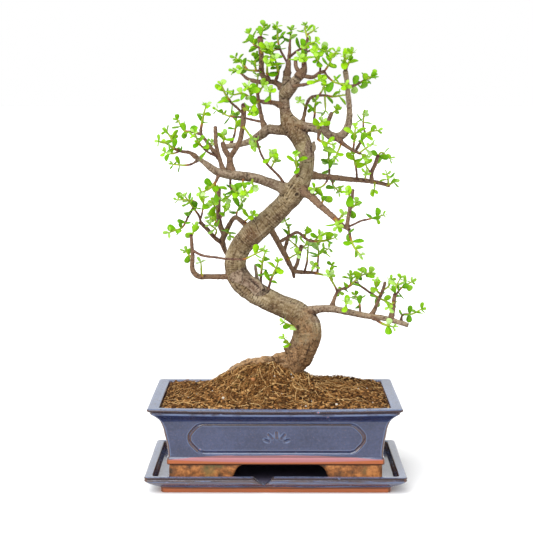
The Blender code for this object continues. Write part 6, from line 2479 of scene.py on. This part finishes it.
    def crumb(self, model: Piece, draw: random.Random, x: float, y: float, size: float,
              shade: float) -> Piece:
        """Lays one crumb, sunk a little in the surface.

        Args:
            model: The crumb that is copied.
            draw: The seeded draws.
            x: The place along the pot.
            y: The place from front to back.
            size: The crumb's radius.
            shade: Its tint, from 0 to 1.

        Returns:
            The crumb.
        """
        turn = Matrix.Rotation(draw.uniform(0, 6.28), 4, Vector((draw.gauss(0, 1), draw.gauss(0, 1), 1)).normalized())
        scale = Matrix.Diagonal((size, size * draw.uniform(0.6, 1.0), size * draw.uniform(0.55, 0.9), 1))
        return copy_of(model, Matrix.Translation((x, y, self.height(x, y) + size * 0.30)) @ turn @ scale, shade)

    def strands_on(self) -> Piece:
        """Models the coco fibres and fine roots that lie on the soil.

        Returns:
            The piece.
        """
        draw = random.Random(23)
        runs = []
        shades = []
        foot = Vector((0.015, 0.0))
        for number in range(self.fibres + self.strands):
            thick = number >= self.fibres
            x, y = self.sprinkle(draw, 0.75 if thick else 0.5)
            outward = math.atan2(y - foot.y, x - foot.x)
            near = math.hypot(x - foot.x, y - foot.y) < 0.055
            angle = outward + draw.gauss(0, 0.5) if near and draw.random() < 0.6 else draw.uniform(0, 2 * math.pi)
            length = draw.uniform(0.012, 0.040) if thick else draw.uniform(0.004, 0.016)
            radius = draw.uniform(0.00024, 0.00044) if thick else draw.uniform(0.00010, 0.00024)
            count = max(4, round(length / self.fibre_step))
            bend = draw.gauss(0, 55)
            lift = draw.uniform(0.0002, 0.0022)
            spots = []
            for index in range(count + 1):
                share = index / count
                arch = math.sin(math.pi * share) * lift
                spots.append((Vector((x, y, self.height(x, y) + radius * 0.6 + arch)), radius * (1 - 0.6 * share)))
                x += math.cos(angle) * length / count
                y += math.sin(angle) * length / count
                angle += bend * length / count + draw.gauss(0, 0.22)
                if abs(x) > self.half_x - 0.002 or abs(y) > self.half_y - 0.002:
                    break
            if len(spots) > 2:
                runs.append(spots)
                shades.append(draw.uniform(0.45, 1.0) if draw.random() < 0.38 else draw.uniform(0.0, 0.40))
        fibres = tubes("soil_fibres", runs, self.fibre_sides)
        mark_nearest(fibres, [spot for run in runs for spot, _ in run],
                     shade=[shade for run, shade in zip(runs, shades) for _ in run])
        polish(fibres)
        return fibres


@dataclass
class Studio:
    """The camera, the pale floor and the soft light."""

    eye: tuple[float, float, float] = (0.0, -EYE_DISTANCE * MM, EYE_HEIGHT * MM)
    pitch: float = 0.0984
    yaw: float = -0.0057
    lens: float = 110.77
    sky: float = 1.0

    def camera(self) -> None:
        """Sets the camera at the photograph's angle."""
        data = bpy.data.cameras.new("camera")
        data.lens = self.lens
        data.sensor_width = 36.0
        data.clip_end = 500.0
        camera = bpy.data.objects.new("camera", data)
        bpy.context.scene.collection.objects.link(camera)
        way = Vector((math.sin(self.yaw) * math.cos(self.pitch), math.cos(self.yaw) * math.cos(self.pitch),
                      -math.sin(self.pitch)))
        camera.location = self.eye
        camera.rotation_euler = way.to_track_quat("-Z", "Y").to_euler()
        bpy.context.scene.camera = camera

    def floor(self, finish: Material) -> None:
        """Lays the floor.

        Args:
            finish: The floor's material.
        """
        clear_selection()
        bpy.ops.mesh.primitive_plane_add(size=400.0, location=(0, 0, 0))
        floor = bpy.context.active_object
        floor.name = "studio_floor"
        floor.data.materials.append(finish)

    def lights(self) -> None:
        """Sets a white surround, a broad key from above and a softer fill."""
        scene = bpy.context.scene
        scene.view_settings.view_transform = "Standard"
        world = bpy.data.worlds.new("surround")
        scene.world = world
        world.use_nodes = True
        surround = world.node_tree.nodes["Background"]
        surround.inputs["Color"].default_value = (1.0, 1.0, 1.0, 1.0)
        surround.inputs["Strength"].default_value = self.sky
        self.lamp("key", (-1.2, -1.9, 2.4), 3.6, 1.00)
        self.lamp("fill", (1.2, -1.8, 1.0), 0.5, 0.8)

    def lamp(self, name: str, place_at: tuple[float, float, float], power: float, soft: float) -> None:
        """Sets one sun that shines at the object's middle.

        Args:
            name: Its name.
            place_at: Where it stands.
            power: Its strength.
            soft: Its angular size, in radians.
        """
        data = bpy.data.lights.new(name, "SUN")
        data.energy = power
        data.angle = soft
        lamp = bpy.data.objects.new(name, data)
        bpy.context.scene.collection.objects.link(lamp)
        lamp.location = place_at
        lamp.rotation_euler = (Vector((0, 0, 0.25)) - Vector(place_at)).to_track_quat("-Z", "Y").to_euler()


def main() -> None:
    """Builds the studio and every sub-assembly in order, and reports each piece."""
    logging.basicConfig(level=logging.INFO, format="%(message)s")
    studio = Studio()
    studio.camera()
    studio.floor(PaleFloor().make())
    studio.lights()

    pot_glaze = Glaze("pot_glaze", 0.0350, 0.0310, 0.0300, 0.0258, 0.107, 0.0775, 0.0806, sag=0.0014, matt=0.85).make()
    tray_glaze = Glaze("tray_glaze", 0.0056, 0.0056, 0.0300, -1.0, 0.128, 1.0, 0.0151, 0.1030).make()
    bark = Bark().make()
    twig = Twig().make()
    leaf = Leaf().make()
    peat = Peat().make()
    crumbs = Tinted("loose_crumbs", ((0.0, (0.020, 0.010, 0.004)), (0.45, (0.110, 0.050, 0.018)),
                                     (0.72, (0.260, 0.125, 0.040)), (0.80, (0.360, 0.140, 0.040)),
                                     (0.90, (0.420, 0.370, 0.300)), (1.0, (0.620, 0.600, 0.560)))).make()
    fibre = Tinted("coco_fibre", ((0.0, (0.060, 0.023, 0.007)), (0.4, (0.235, 0.108, 0.032)),
                                  (0.6, (0.440, 0.255, 0.095)), (1.0, (0.680, 0.470, 0.220)))).make()

    tray = DripTray()
    hand_over(tray.build(), [tray_glaze], "drip_tray")
    pot = GlazedPot()
    hand_over(pot.build(), [pot_glaze], "pot")
    hand_over(pot.feet(), [pot_glaze], "pot")
    plastic = Plastic().make()
    for name in ("drain_screen_left", "drain_screen_right"):
        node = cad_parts[name]
        node.data.materials.clear()
        node.data.materials.append(plastic)
        LOG.info("%s: the solid itself, in %s", name, plastic.name)
    soil = SoilBed()
    hand_over(soil.build(), [peat], "soil")
    hand_over(soil.loose(), [crumbs], "soil")
    hand_over(soil.strands_on(), [fibre], "soil")
    wood = Wood()
    wood.lay()
    trunk = wood.build()
    hand_over(trunk, [bark], "trunk_and_limbs")
    foliage = Foliage(wood)
    foliage.prepare(trunk)
    for name, piece in foliage.build():
        hand_over(piece, [twig, leaf], name)


if __name__ == "__main__":
    main()
